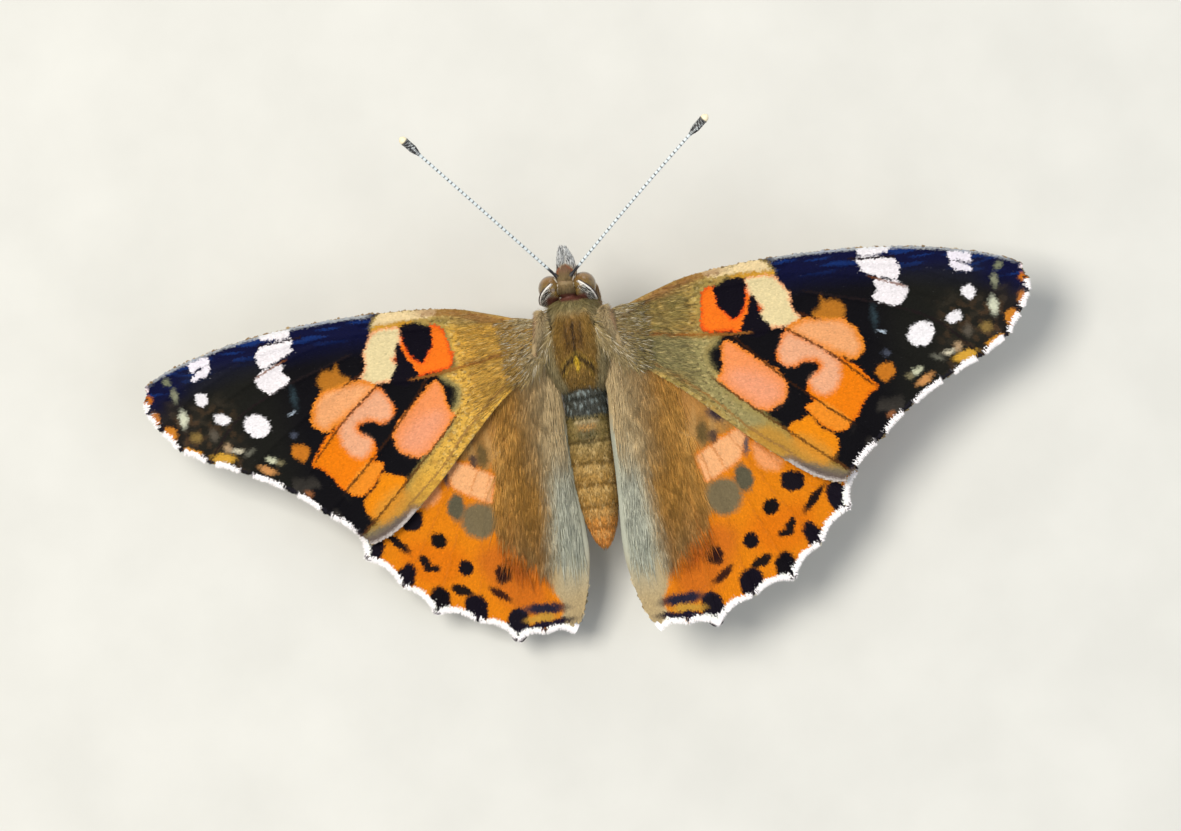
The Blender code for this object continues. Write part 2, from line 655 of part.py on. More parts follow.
def main():
    clear_scene()
    butterfly = new_collection("painted lady")
    cutters = new_collection("cutters")

    stance = bpy.data.objects.new("stance", None)
    butterfly.objects.link(stance)
    body_frame = bpy.data.objects.new("body frame", None)
    butterfly.objects.link(body_frame)
    body_frame.parent = stance
    body_frame.location = (0.0, 0.0, THORAX_HEIGHT)
    body_frame.rotation_euler = (BODY_PITCH, 0.0, 0.0)
    head_frame = bpy.data.objects.new("head frame", None)
    butterfly.objects.link(head_frame)
    head_frame.parent = body_frame
    head_frame.location = (HEAD_SHIFT, 0.0, 0.0)
    bpy.context.view_layer.update()
    to_world = body_frame.matrix_world.copy()

    thorax = stretched_sphere("thorax", 24, 16, thorax_shape, butterfly)
    abdomen = stretched_sphere("abdomen", 20, 34, abdomen_shape, butterfly)
    head = stretched_sphere("head", 20, 14, ellipsoid(HEAD_HALF, HEAD_CENTRE), butterfly)
    on_body = [thorax, abdomen]
    on_head = [head, make_proboscis(butterfly)]
    on_floor = []
    for side in ("left", "right"):
        on_head += [make_eye(side, butterfly), make_palp(side, butterfly),
                    make_antenna(side, butterfly)]
        on_body.append(make_foreleg(side, butterfly))
        for kind in WALKING_LEGS:
            on_floor.append(make_walking_leg(kind, side, to_world, butterfly))
    for frame, carried in ((body_frame, on_body), (head_frame, on_head), (stance, on_floor)):
        for obj in carried:
            obj.parent = frame

    wings = []
    for side in ("left", "right"):
        for kind, wing, scallop, height in (
                ("forewing", FOREWING, FOREWING_SCALLOP, forewing_height),
                ("hindwing", HINDWING, HINDWING_SCALLOP, hindwing_height)):
            obj = make_wing(kind + "_" + side, wing, scallop, height, side, butterfly)
            obj.parent = stance
            obj.matrix_parent_inverse = Matrix.Identity(4)
            obj.matrix_basis = wing_matrix(side, kind, to_world)
            wings.append(obj)

    bpy.context.view_layer.update()
    around_thorax = grown_cutter(thorax, SEAM_GAP, cutters)
    around_head = grown_cutter(head, SEAM_GAP, cutters)
    around_abdomen = grown_cutter(abdomen, SEAM_GAP, cutters)
    for obj in butterfly.objects:
        kind = obj.name.split("_")[0]
        if kind in ("abdomen", "head", "eye", "forewing", "hindwing",
                    "foreleg", "midleg", "hindleg"):
            trim(obj, around_thorax)
        if kind in ("eye", "palp", "antenna", "proboscis"):
            trim(obj, around_head)
        if kind == "hindwing":
            trim(obj, around_abdomen)

    nodes = [obj for obj in butterfly.objects if obj.type == "MESH"]
    for cutter in list(cutters.objects):
        bpy.data.objects.remove(cutter, do_unlink=True)
    for obj in nodes:
        give_material(obj)
    stand_on_origin(nodes, stance)


main()
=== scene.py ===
# Painted lady butterfly, wings spread: skins, scales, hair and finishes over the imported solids.
# Sizes are in millimetres and are turned to metres when a piece is placed.
import math

import bpy
import numpy as np
from mathutils import Euler, Matrix, Vector


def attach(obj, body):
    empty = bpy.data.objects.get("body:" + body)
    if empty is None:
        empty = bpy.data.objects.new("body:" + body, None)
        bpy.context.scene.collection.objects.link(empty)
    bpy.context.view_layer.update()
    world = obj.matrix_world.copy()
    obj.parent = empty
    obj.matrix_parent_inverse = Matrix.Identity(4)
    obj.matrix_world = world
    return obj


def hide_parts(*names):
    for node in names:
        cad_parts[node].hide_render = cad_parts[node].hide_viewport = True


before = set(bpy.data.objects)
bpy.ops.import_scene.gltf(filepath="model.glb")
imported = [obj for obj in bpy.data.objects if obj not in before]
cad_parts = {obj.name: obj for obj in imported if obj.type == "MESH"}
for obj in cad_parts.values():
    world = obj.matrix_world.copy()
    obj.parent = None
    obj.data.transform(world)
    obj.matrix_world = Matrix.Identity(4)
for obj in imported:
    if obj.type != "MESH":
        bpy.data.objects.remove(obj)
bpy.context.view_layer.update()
print("frame loaded:", len(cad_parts), "solids")

mm = 0.001
draws = np.random.default_rng(20)

# The body leans head-up, and the whole model stands with its footprint's middle on the origin
stance = {
    "standsAt": (-0.056, 3.592, 0.0),
    "thoraxHeight": 9.8,
    "headUp": 11.0,
    "headShift": -0.25,
}
bodyPlace = (Matrix.Translation(Vector(stance["standsAt"]) + Vector((0, 0, stance["thoraxHeight"])))
             @ Matrix.Rotation(math.radians(stance["headUp"]), 4, "X"))


def linearColour(hexCode):
    values = [int(hexCode[i:i + 2], 16) / 255 for i in (1, 3, 5)]
    return [v / 12.92 if v <= 0.04045 else ((v + 0.055) / 1.055) ** 2.4 for v in values]


def plainColours(hexCode, count):
    return np.tile(linearColour(hexCode), (count, 1))


def addNode(tree, kind, settings=None, links=None):
    node = tree.nodes.new(kind)
    for name, value in (settings or {}).items():
        if name in node.inputs:
            node.inputs[name].default_value = value
        else:
            setattr(node, name, value)
    for name, source in (links or {}).items():
        tree.links.new(source, node.inputs[name])
    return node


# Making pieces

def startPiece(name):
    # names the primitive that an operator has just added
    piece = bpy.context.object
    piece.name = name
    piece.data.name = name
    return piece


def startSphere(name, segments, rings):
    bpy.ops.mesh.primitive_uv_sphere_add(segments=segments, ring_count=rings, radius=1.0)
    return startPiece(name)


def pickOnly(piece):
    if bpy.context.object and bpy.context.object.mode != "OBJECT":
        bpy.ops.object.mode_set(mode="OBJECT")
    bpy.ops.object.select_all(action="DESELECT")
    piece.select_set(True)
    bpy.context.view_layer.objects.active = piece


def readPoints(piece):
    points = np.zeros(len(piece.data.vertices) * 3)
    piece.data.vertices.foreach_get("co", points)
    return points.reshape(-1, 3)


def writePoints(piece, points):
    piece.data.vertices.foreach_set("co", np.ascontiguousarray(points, float).ravel())
    piece.data.update()


def inModel(points, place):
    # millimetres in a frame of its own, moved to metres in the model's frame
    matrix = np.array(place)
    return (points @ matrix[:3, :3].T + matrix[:3, 3]) * mm


def smoothAndPlace(piece, place):
    bpy.ops.object.shade_smooth()
    writePoints(piece, inModel(readPoints(piece), place))


def paintPoints(piece, colours):
    layer = piece.data.color_attributes.new(name="markings", type="FLOAT_COLOR", domain="POINT")
    rows = np.ones((len(colours), 4), np.float32)
    rows[:, :3] = colours
    layer.data.foreach_set("color", rows.ravel())


def applyModifiers(piece):
    pickOnly(piece)
    for modifier in list(piece.modifiers):
        bpy.ops.object.modifier_apply(modifier=modifier.name)


def editWhole(piece, *steps):
    # runs edit-mode operators on the whole of one piece
    pickOnly(piece)
    bpy.ops.object.mode_set(mode="EDIT")
    for step in steps:
        bpy.ops.mesh.select_all(action="SELECT")
        step()
    bpy.ops.object.mode_set(mode="OBJECT")


def mergeAndTurnOut(piece, distance):
    editWhole(piece, lambda: bpy.ops.mesh.remove_doubles(threshold=distance),
              lambda: bpy.ops.mesh.normals_make_consistent(inside=False))


def joinedTufts(name, points, faces, colours, patches, faceted=False):
    # points: tuft, corner, xyz in metres; faces: one tuft's triangles; patches: each corner's unwrap
    tufts, corners = points.shape[:2]
    faces = np.array(faces)
    mesh = bpy.data.meshes.new(name)
    mesh.vertices.add(tufts * corners)
    mesh.vertices.foreach_set("co", points.reshape(-1).astype(np.float32))
    loops = (faces[None] + (np.arange(tufts) * corners)[:, None, None]).reshape(-1)
    count = tufts * len(faces)
    mesh.loops.add(len(loops))
    mesh.loops.foreach_set("vertex_index", loops.astype(np.int32))
    mesh.polygons.add(count)
    mesh.polygons.foreach_set("loop_start", np.arange(0, count * 3, 3, dtype=np.int32))
    mesh.update(calc_edges=True)
    if faceted:
        mesh.shade_flat()
    unwrap = mesh.uv_layers.new(name="OFBake")
    unwrap.data.foreach_set("uv", patches.reshape(-1, 2)[loops].astype(np.float32).ravel())
    piece = bpy.data.objects.new(name, mesh)
    bpy.context.scene.collection.objects.link(piece)
    paintPoints(piece, np.repeat(colours, corners, axis=0))
    return piece


# Smooth outlines, spots and washes that the markings are painted with

def splineThrough(points, closed=False, steps=6):
    points = [np.array(p, float) for p in points]
    if closed:
        padded = points[-1:] + points + points[:2]
    else:
        padded = [2 * points[0] - points[1]] + points + [2 * points[-1] - points[-2]]
    line = []
    for before, start, end, after in zip(padded, padded[1:], padded[2:], padded[3:]):
        for step in range(steps):
            t = step / steps
            line.append(0.5 * (2 * start + (end - before) * t
                               + (2 * before - 5 * start + 4 * end - after) * t * t
                               + (3 * start - before - 3 * end + after) * t ** 3))
    if not closed:
        line.append(points[-1])
    return np.array(line)


def lineDistance(x, y, line):
    best = np.full(len(x), 1e9)
    for (ax, ay), (bx, by) in zip(line[:-1], line[1:]):
        ex, ey = bx - ax, by - ay
        t = np.clip(((x - ax) * ex + (y - ay) * ey) / max(ex * ex + ey * ey, 1e-12), 0, 1)
        best = np.minimum(best, (x - ax - ex * t) ** 2 + (y - ay - ey * t) ** 2)
    return np.sqrt(best)


def insideLoop(x, y, loop):
    within = np.zeros(len(x), bool)
    for (ax, ay), (bx, by) in zip(loop[:-1], loop[1:]):
        if ay != by:
            within ^= ((ay > y) != (by > y)) & (x < (bx - ax) * (y - ay) / (by - ay) + ax)
    return within


def depthInside(x, y, outline, reach=1.5):
    # how far each point is inside a closed smooth outline; negative outside it
    line = splineThrough(outline, closed=True)
    loop = np.vstack([line, line[:1]])
    low = loop.min(0) - reach
    high = loop.max(0) + reach
    near = (x > low[0]) & (x < high[0]) & (y > low[1]) & (y < high[1])
    depth = np.full(len(x), -reach)
    distance = lineDistance(x[near], y[near], loop)
    depth[near] = np.where(insideLoop(x[near], y[near], loop), distance, -distance)
    return depth


def spotDepth(x, y, centre, size, turn=0.0):
    c = math.cos(math.radians(turn))
    s = math.sin(math.radians(turn))
    u = (x - centre[0]) * c + (y - centre[1]) * s
    v = (y - centre[1]) * c - (x - centre[0]) * s
    return (1 - np.hypot(u / (size[0] / 2), v / (size[1] / 2))) * min(size) / 2


def ease(low, high, value):
    t = np.clip((value - low) / (high - low), 0, 1)
    return t * t * (3 - 2 * t)


def ripple(x, y, size, seed):
    # a smooth unevenness of that size, made of five crossed waves, about -1 to 1
    total = np.zeros(len(x))
    for number in range(5):
        angle = seed * 1.7 + number * 2.4
        wave = 2 * math.pi / (size * (0.7 + 0.25 * number))
        total += np.sin((x * math.cos(angle) + y * math.sin(angle)) * wave + seed * 3.1 + number * 1.9)
    return total / 2.6


def blotches(x, y, size, seed, low=0.2, high=0.9):
    # soft-edged blotches of that size: none where the ripple is under low, full where it is over high
    return ease(low, high, ripple(x, y, size, seed))


def wash(colours, cover, hexCode, tone=1.0):
    cover = np.clip(cover, 0, 1)[:, None]
    return colours * (1 - cover) + np.array(linearColour(hexCode)) * tone * cover


def paintOver(colours, layers):
    # washes laid one over the other, each with its cover and its colour
    for cover, hexCode in layers:
        colours = wash(colours, cover, hexCode)
    return colours


def paintMark(colours, x, y, mark):
    if "outline" in mark:
        depth = depthInside(x, y, mark["outline"])
    else:
        depth = spotDepth(x, y, mark["centre"], mark["size"], mark.get("turn", 0.0))
    soft = mark.get("soft", 0.08)
    cover = ease(-soft, soft, depth)
    # scales shine a little in the studio's light, so a mark's own colour is deeper than it looks
    tone = mark.get("tone", 0.8)
    if "rim" in mark:
        colours = wash(colours, cover, mark["rim"], tone)
        cover = cover * ease(0.0, mark["rimWidth"], depth)
    return wash(colours, cover * mark.get("strength", 1.0), mark["fill"], tone)


# The wings' plans, each in its own plane: x out along the wing, y towards the head
wings = {
    "forewing": {
        "lead": [(-1.5, 0.5), (0.0, 0.8), (3.0, 1.9), (6.8, 2.9), (14.4, 3.4), (21.8, 3.0),
                 (27.4, 1.9), (30.3, 0.75), (31.2, -0.4)],
        "veinEnds": [(31.2, -0.4), (31.2, -1.5), (30.45, -2.95), (29.15, -4.8), (26.95, -6.15),
                     (24.4, -7.3), (21.1, -9.25), (18.9, -11.15), (16.4, -13.3)],
        "trail": [(16.4, -13.3), (15.5, -13.8), (14.2, -13.5), (12.8, -12.8), (11.5, -11.8),
                  (9.4, -10.1), (7.2, -8.1), (4.2, -5.4), (2.2, -3.9), (-0.2, -1.9), (-1.5, -1.3)],
        "scallop": 0.18,
        "drop": 0.0,
        "veins": {
            "subcosta": [(-0.6, 0.3), (5.3, 1.95), (9.8, 2.55), (13.0, 2.75)],
            "radius": [(-0.8, -0.1), (5.2, 1.2), (9.7, 1.75), (13.9, 2.0), (18.0, 2.1), (21.7, 1.7)],
            "radius3": [(21.7, 1.7), (25.7, 0.9), (29.2, -0.5), (31.2, -1.5)],
            "radius4": [(21.7, 1.7), (27.0, -0.6), (30.45, -2.95)],
            "radius5": [(13.9, 2.0), (17.2, 1.5), (20.0, 0.6), (25.3, -1.7), (29.15, -4.8)],
            "cellEnd": [(13.9, 2.0), (13.9, 0.6), (13.3, -0.9), (12.4, -2.0)],
            "media1": [(13.9, 0.6), (19.8, -1.1), (23.7, -2.9), (26.95, -6.15)],
            "media2": [(13.3, -0.9), (17.3, -2.8), (21.5, -5.2), (24.4, -7.3)],
            "cubitus": [(-0.8, -0.5), (3.3, -1.3), (8.3, -1.9), (12.4, -2.0)],
            "media3": [(12.4, -2.0), (15.7, -4.4), (19.3, -7.8), (21.1, -9.25)],
            "cubitus1": [(8.3, -1.9), (12.0, -5.7), (16.9, -9.8), (18.9, -11.15)],
            "cubitus2": [(3.3, -1.3), (7.3, -5.6), (12.7, -10.3), (16.4, -13.3)],
            "anal": [(1.2, -2.3), (3.2, -3.9), (6.2, -6.2), (8.9, -8.9), (12.2, -11.4)],
        },
    },
    "hindwing": {
        "lead": [(-1.5, -1.0), (0.4, -1.2), (3.2, -2.1), (8.9, -5.0), (13.6, -8.4), (16.4, -11.1),
                 (16.95, -13.2)],
        "veinEnds": [(16.95, -13.2), (16.05, -15.95), (13.5, -18.35), (11.2, -20.8), (8.05, -21.6),
                     (5.0, -23.6), (2.8, -23.1), (0.65, -23.4)],
        "trail": [(0.65, -23.4), (-0.4, -21.1), (-1.05, -18.9), (-1.35, -16.4), (-1.2, -11.6),
                  (-1.2, -7.9), (-1.1, -5.0), (-1.5, -3.4)],
        "scallop": 0.5,
        "drop": 1.0,
        "veins": {
            "subcosta": [(-0.5, -1.9), (5.8, -4.3), (12.0, -8.4), (15.3, -11.5)],
            "radius": [(0.8, -2.6), (5.8, -6.0), (11.3, -9.9), (16.95, -13.2)],
            "media1": [(5.8, -6.0), (9.0, -9.9), (12.3, -13.2), (16.05, -15.95)],
            "cellEnd": [(5.8, -6.0), (6.5, -7.8), (5.8, -9.5)],
            "media2": [(6.5, -7.8), (8.5, -11.0), (10.7, -14.6), (13.5, -18.35)],
            "cubitus": [(-0.4, -2.5), (1.9, -5.3), (3.4, -8.3), (5.8, -9.5)],
            "media3": [(5.8, -9.5), (7.5, -12.7), (9.3, -16.7), (11.2, -20.8)],
            "cubitus1": [(4.8, -9.2), (6.2, -13.7), (6.9, -17.5), (8.05, -21.6)],
            "cubitus2": [(3.4, -8.3), (4.0, -13.0), (4.4, -17.9), (5.0, -23.6)],
            "anal": [(-0.3, -3.6), (0.7, -9.7), (1.6, -16.5), (2.8, -23.1)],
        },
    },
}
wingPose = {
    # degrees: trailing edge down, outer edge down, swept back (forewing and hindwing)
    "left": {"trail": 17.0, "droop": 7.3, "forewing": 3.4, "hindwing": 0.6},
    "right": {"trail": 8.0, "droop": 7.0, "forewing": 0.0, "hindwing": 0.0},
}
wingRoot = (3.0, 1.0, 1.5)
wingForm = {
    "span": 31.3,
    "tipCurl": 0.6,
    "foldDepth": 0.5,
    "foldWidth": 2.2,
    "foldSlant": 0.1,
    "membrane": 0.16,
    "veinWidth": 0.16,
    "fringe": 0.5,
    "cell": 0.3,
    "belly": 0.09,
    "bellyWidth": 0.7,
}


def sideSign(side):
    return -1 if side == "left" else 1


def mirrorOf(side):
    # right-hand coordinates times this are those of the given side
    return np.array((sideSign(side), 1, 1))


def wingPlace(kind, side):
    pose = wingPose[side]
    swing = Euler((math.radians(pose["trail"]), math.radians(pose["droop"]) * sideSign(side),
                   math.radians(pose[kind])), "ZYX").to_matrix().to_4x4()
    root = bodyPlace @ Vector((wingRoot[0] * sideSign(side), wingRoot[1], wingRoot[2]))
    return Matrix.Translation(root) @ swing @ Matrix.Translation((0, 0, -wings[kind]["drop"]))


def wingOutline(kind):
    # closed loop, and the scalloped margin with each point's place between two vein ends
    wing = wings[kind]
    margin = []
    between = []
    for start, end in zip(wing["veinEnds"], wing["veinEnds"][1:]):
        start, end = np.array(start), np.array(end)
        chord = end - start
        length = math.hypot(*chord)
        inward = np.array((chord[1], -chord[0])) / length
        for step in range(12):
            t = step / 12
            dip = wing["scallop"] * math.sin(math.pi * t) * min(1.0, length / 2.5)
            margin.append(start + chord * t + inward * dip)
            between.append(t)
    lead = splineThrough(wing["lead"])[:-1]
    trail = splineThrough(wing["trail"])
    loop = np.vstack([lead, margin, trail, lead[:1]])
    return loop, np.array(margin), np.array(between)


def wingFields(kind):
    # distances worked out once on a fine lattice: depth inside the outline, and to the nearest vein
    step = 0.12
    loop, margin, between = wingOutline(kind)
    low = loop.min(0) - 1.0
    columns = int((loop[:, 0].max() + 1.0 - low[0]) / step) + 2
    rows = int((loop[:, 1].max() + 1.0 - low[1]) / step) + 2
    x, y = np.meshgrid(low[0] + np.arange(columns) * step, low[1] + np.arange(rows) * step)
    x, y = x.ravel(), y.ravel()
    distance = lineDistance(x, y, loop)
    depth = np.where(insideLoop(x, y, loop), distance, -distance)
    vein = np.full(len(x), 9.0)
    for line in wings[kind]["veins"].values():
        vein = np.minimum(vein, lineDistance(x, y, splineThrough(line)))
    toMargin = lineDistance(x, y, margin)
    shape = (rows, columns)
    return {"low": low, "step": step, "depth": depth.reshape(shape), "vein": vein.reshape(shape),
            "margin": toMargin.reshape(shape), "loop": loop, "rim": margin, "between": between}


def readField(fields, name, x, y):
    grid = fields[name]
    u = np.clip((x - fields["low"][0]) / fields["step"], 0, grid.shape[1] - 1.001)
    v = np.clip((y - fields["low"][1]) / fields["step"], 0, grid.shape[0] - 1.001)
    i, j = u.astype(int), v.astype(int)
    a, b = u - i, v - j
    return ((grid[j, i] * (1 - a) + grid[j, i + 1] * a) * (1 - b)
            + (grid[j + 1, i] * (1 - a) + grid[j + 1, i + 1] * a) * b)


def wingHeight(kind, fields, x, y):
    # a slight arch, the hindwing's inner fold, and each cell bellied between its veins
    height = -wingForm["tipCurl"] * (x / wingForm["span"]) ** 2
    if kind == "hindwing":
        fold = np.clip((-wingForm["foldSlant"] * y - x) / wingForm["foldWidth"], 0, 1)
        height = height - wingForm["foldDepth"] * fold ** 2
    away = readField(fields, "vein", x, y) / wingForm["bellyWidth"]
    return height - wingForm["belly"] * (1 - np.exp(-away * away))


def spotTable(*rows):
    # each row: name, middle, size, turn in degrees, fill, softness of its edge
    return {name: dict(zip(("centre", "size", "turn", "fill", "soft"), values)) for name, *values in rows}


# Upper side markings: outlines in the wing's plane, painted one over the other
forewingMarks = {
    "baseField": {"fill": "#9c8a4c", "soft": 0.25, "tone": 1.0, "outline": [
        (-1.3, -0.4), (-0.8, 1.7), (2.3, 2.1), (6.1, 2.8), (7.7, 2.9), (10.8, 3.2), (11.9, 2.6),
        (11.8, 1.9), (9.6, 2.2), (7.6, 1.8), (6.6, 1.4), (6.3, 0), (6.2, -1.5), (7.4, -2), (6.8, -2.6),
        (6.3, -3.2), (6.6, -4.2), (7.1, -4.7), (7.4, -5.7), (8.6, -6.7), (10, -7.9), (11, -8.8),
        (12, -10), (13.5, -11.4), (15.5, -12.8), (16.4, -13.8), (14.8, -14.4), (12.3, -13.5),
        (9.5, -11.9), (6.8, -10), (4.8, -7.9), (1.9, -6.8), (-1.1, -7.2), (-2.4, -5.5)]},
    "stripOchre": {"fill": "#c0903c", "soft": 0.5, "outline": [
        (8.6, -8.1), (9.9, -8.7), (11.2, -9.3), (12.1, -10.4), (13.4, -11.6), (15.2, -12.7),
        (12.4, -12.3), (10.4, -11), (8.7, -9.6)]},
    "stripEdge": {"fill": "#6f6450", "soft": 0.35, "tone": 1.0, "outline": [
        (7.9, -9.5), (9.6, -10.9), (11.8, -11.7), (13.9, -12.2), (16, -13.3), (14.5, -14),
        (12.3, -13.5), (9.9, -12.1)]},
    "greyHair": {"fill": "#8f8556", "soft": 0.5, "tone": 1.0, "outline": [
        (0.8, -1.3), (3.3, -1.3), (7.1, -2.1), (6.4, -3), (6.7, -4.3), (7.4, -5.8), (8.7, -7.2),
        (10.1, -8.6), (8.4, -8.7), (6.6, -6.8), (5.1, -5.6), (3.9, -4.2), (1.6, -3.5)]},
    "cubitusLine": {"fill": "#a8752f", "soft": 0.15, "strength": 0.6, "outline": [
        (0.6, -0.6), (3.4, -1.1), (6.3, -1.5), (8.1, -1.9), (6.3, -1.9), (3.3, -1.4)]},
    "costalPale": {"fill": "#bf9f5c", "soft": 0.3, "strength": 0.7, "outline": [
        (2.2, 1.4), (6, 2.2), (8.3, 2.7), (10.8, 3.1), (11.7, 2.6), (9.4, 2.3), (7.1, 2.3), (5.2, 1.6)]},
    "costalCream": {"fill": "#ead3a2", "soft": 0.12, "outline": [
        (6.8, 2.9), (8.7, 3), (10.8, 3.2), (11.7, 2.6), (11.7, 2.3), (9.4, 2.4), (7.2, 2.4)]},
    "costalOchre": {"fill": "#d09a34", "soft": 0.12, "outline": [
        (8.6, 2.2), (9.8, 2.4), (11.7, 2.3), (11.9, 1.9), (10.1, 2)]},
    "cellL": {"fill": "#f87a1c", "rim": "#ec5414", "rimWidth": 0.3, "outline": [
        (6.6, 1.4), (7.6, 1.7), (7.6, 0.7), (7.9, 0), (8.6, -0.8), (9.3, -0.3), (9.7, 0.7), (9.8, 1.6),
        (10.2, 0.9), (10.4, 0.1), (10.7, -0.4), (10.3, -0.8), (9.7, -1.4), (9.3, -1.8), (7.9, -1.7),
        (6.3, -1.4), (6.3, 0)]},
    "cellBlack": {"fill": "#0b0714", "outline": [
        (7.5, 1.6), (8.4, 2), (9, 2.1), (9.7, 2), (9.8, 1.2), (9.7, 0.5), (9.3, -0.3), (8.6, -0.8),
        (7.8, 0), (7.5, 0.7)]},
    "creamPatch": {"fill": "#e8d8a6", "rim": "#f2ac7a", "rimWidth": 0.3, "outline": [
        (9.8, 1.9), (10.9, 2.1), (12, 1.9), (12.6, 1.2), (13, 0.4), (13.1, -0.7), (13.6, -1.4),
        (12.5, -1.9), (11.1, -1.8), (10.6, -1.3), (10.4, -0.8), (10.8, -0.4), (10.4, 0.1), (10, 0.9)]},
    "lowerPink": {"fill": "#f4985c", "rim": "#f08a30", "rimWidth": 0.4, "outline": [
        (7.6, -2.5), (8.2, -2.4), (9.4, -3.4), (10.8, -4.4), (11.8, -5.4), (12, -6.2), (11.8, -7.1),
        (11.1, -7.6), (10.2, -7.8), (9.2, -7.3), (8.3, -6.5), (7.4, -5.6), (6.9, -5), (7.3, -4.3)]},
    "lowerPinkHeart": {"fill": "#eaa98c", "soft": 0.7, "strength": 0.55, "outline": [
        (8.2, -4.6), (9.6, -4.8), (10.9, -5.6), (11.5, -6.5), (11, -7.2), (9.9, -7.2), (8.7, -6.3),
        (7.9, -5.4)]},
    "upperLobe": {"fill": "#f0ac74", "rim": "#ea8a24", "rimWidth": 0.7, "outline": [
        (12.5, -2), (13.8, -1.4), (15.3, -1.5), (16.6, -1.7), (17.4, -2.4), (18, -3.6), (17.9, -4.4),
        (17.1, -4.9), (16.1, -4.5), (15, -3.9), (13.6, -3.1)]},
    "hook": {"fill": "#f08208", "rim": "#ea7408", "rimWidth": 0.3, "outline": [
        (12.4, -2.1), (13.6, -2.8), (15.1, -3.8), (16.4, -4.8), (17.2, -5.3), (18, -6.2), (18.7, -7.1),
        (18, -7.5), (17.3, -8.4), (16.6, -9.3), (15.7, -9.1), (14.4, -8.2), (13.6, -7.2), (13.4, -6.4),
        (13.7, -5.9), (14.4, -5.2), (14.3, -4.7), (13.4, -4.6), (12.8, -4.9), (11.9, -4.7), (11.4, -4),
        (11.7, -3.2)]},
    "hookHeart": {"fill": "#eeb088", "soft": 0.35, "outline": [
        (12.5, -2.4), (13.6, -3), (15, -3.9), (15.9, -4.8), (16, -5.9), (15.5, -6.8), (14.6, -7.2),
        (13.9, -6.6), (13.8, -5.9), (14.7, -5.2), (14.5, -4.5), (13.4, -4.4), (12.6, -4.7),
        (11.9, -4.5), (11.7, -3.8), (11.9, -3.1)]},
    "cellNotch": {"fill": "#0b0714", "outline": [
        (9.1, -1.9), (9.35, -1.1), (9.7, -0.4), (9.95, 0.3), (10.2, 0.85), (10.45, 0.3), (10.6, -0.4),
        (10.8, -1.1), (11.3, -1.9), (10.2, -2.4)]},
    "orangePoint": {"fill": "#cc8226", "soft": 0.22, "strength": 0.8, "outline": [
        (15.2, 0.1), (15.6, -0.4), (16.2, -0.3), (16.9, -0.9), (16.6, -1.7), (14.9, -1.6), (14.5, -1.1),
        (15.1, -0.8)]},
    "smallOrange": {"fill": "#c87820", "soft": 0.15, "outline": [
        (18.6, -6), (19.1, -5.5), (19.8, -5.5), (20.1, -6.1), (19.7, -6.5), (19.2, -6.8)]},
    "lowerCellA": {"fill": "#f29226", "rim": "#ec8012", "rimWidth": 0.2, "outline": [
        (13.2, -7.8), (14.2, -7.5), (15, -7.8), (16.1, -8.8), (16.4, -9.4), (15.9, -9.9), (15.3, -10),
        (14.6, -9.6), (13.5, -8.5)]},
    "lowerCellB": {"fill": "#f0900e", "rim": "#dc8014", "rimWidth": 0.25, "outline": [
        (11.6, -9.3), (12.7, -8.7), (13.5, -8.6), (14.1, -9.4), (15, -10.1), (15.3, -10.8),
        (14.8, -11.8), (13.5, -11.2), (12.5, -10.3)]},
    "stripOrange": {"fill": "#dc9430", "soft": 0.5, "outline": [
        (12.4, -9.7), (13.8, -10.4), (14.8, -11.5), (14.1, -12.2), (12.9, -11.5), (11.9, -10.4)]},
    "whiteStreak": {"fill": "#f6f2f6", "soft": 0.06, "outline": [
        (18.5, 3.2), (20.5, 3.1), (20.6, 2.7), (19.8, 2.6), (18.5, 2.6)]},
    "whiteUpper": {"fill": "#f6f2f6", "soft": 0.06, "outline": [
        (18.2, 2.4), (18.4, 1.8), (18.7, 1.3), (20, 0.9), (21, 0.6), (21.3, 1.3), (21.1, 1.9),
        (20.7, 2.2), (19.3, 2.5)]},
    "whiteLower": {"fill": "#f6f2f6", "soft": 0.06, "outline": [
        (19.4, 0.8), (19.4, 0), (19, -0.6), (19.8, -1.1), (20.7, -1.4), (21.3, -1), (21.7, -0.4),
        (21.4, 0.2), (20.7, 0.5)]},
    "apexWhiteA": {"fill": "#f2eef8", "soft": 0.06, "outline": [
        (25.1, 2.1), (26.6, 1.8), (26.6, 1.2), (25.8, 1.4), (25.1, 1.5)]},
    "apexWhiteB": {"fill": "#f2eef8", "soft": 0.06, "outline": [
        (25.1, 1.4), (26.5, 0.9), (26.6, 0.5), (26, 0.5), (25.2, 0.9)]},
}
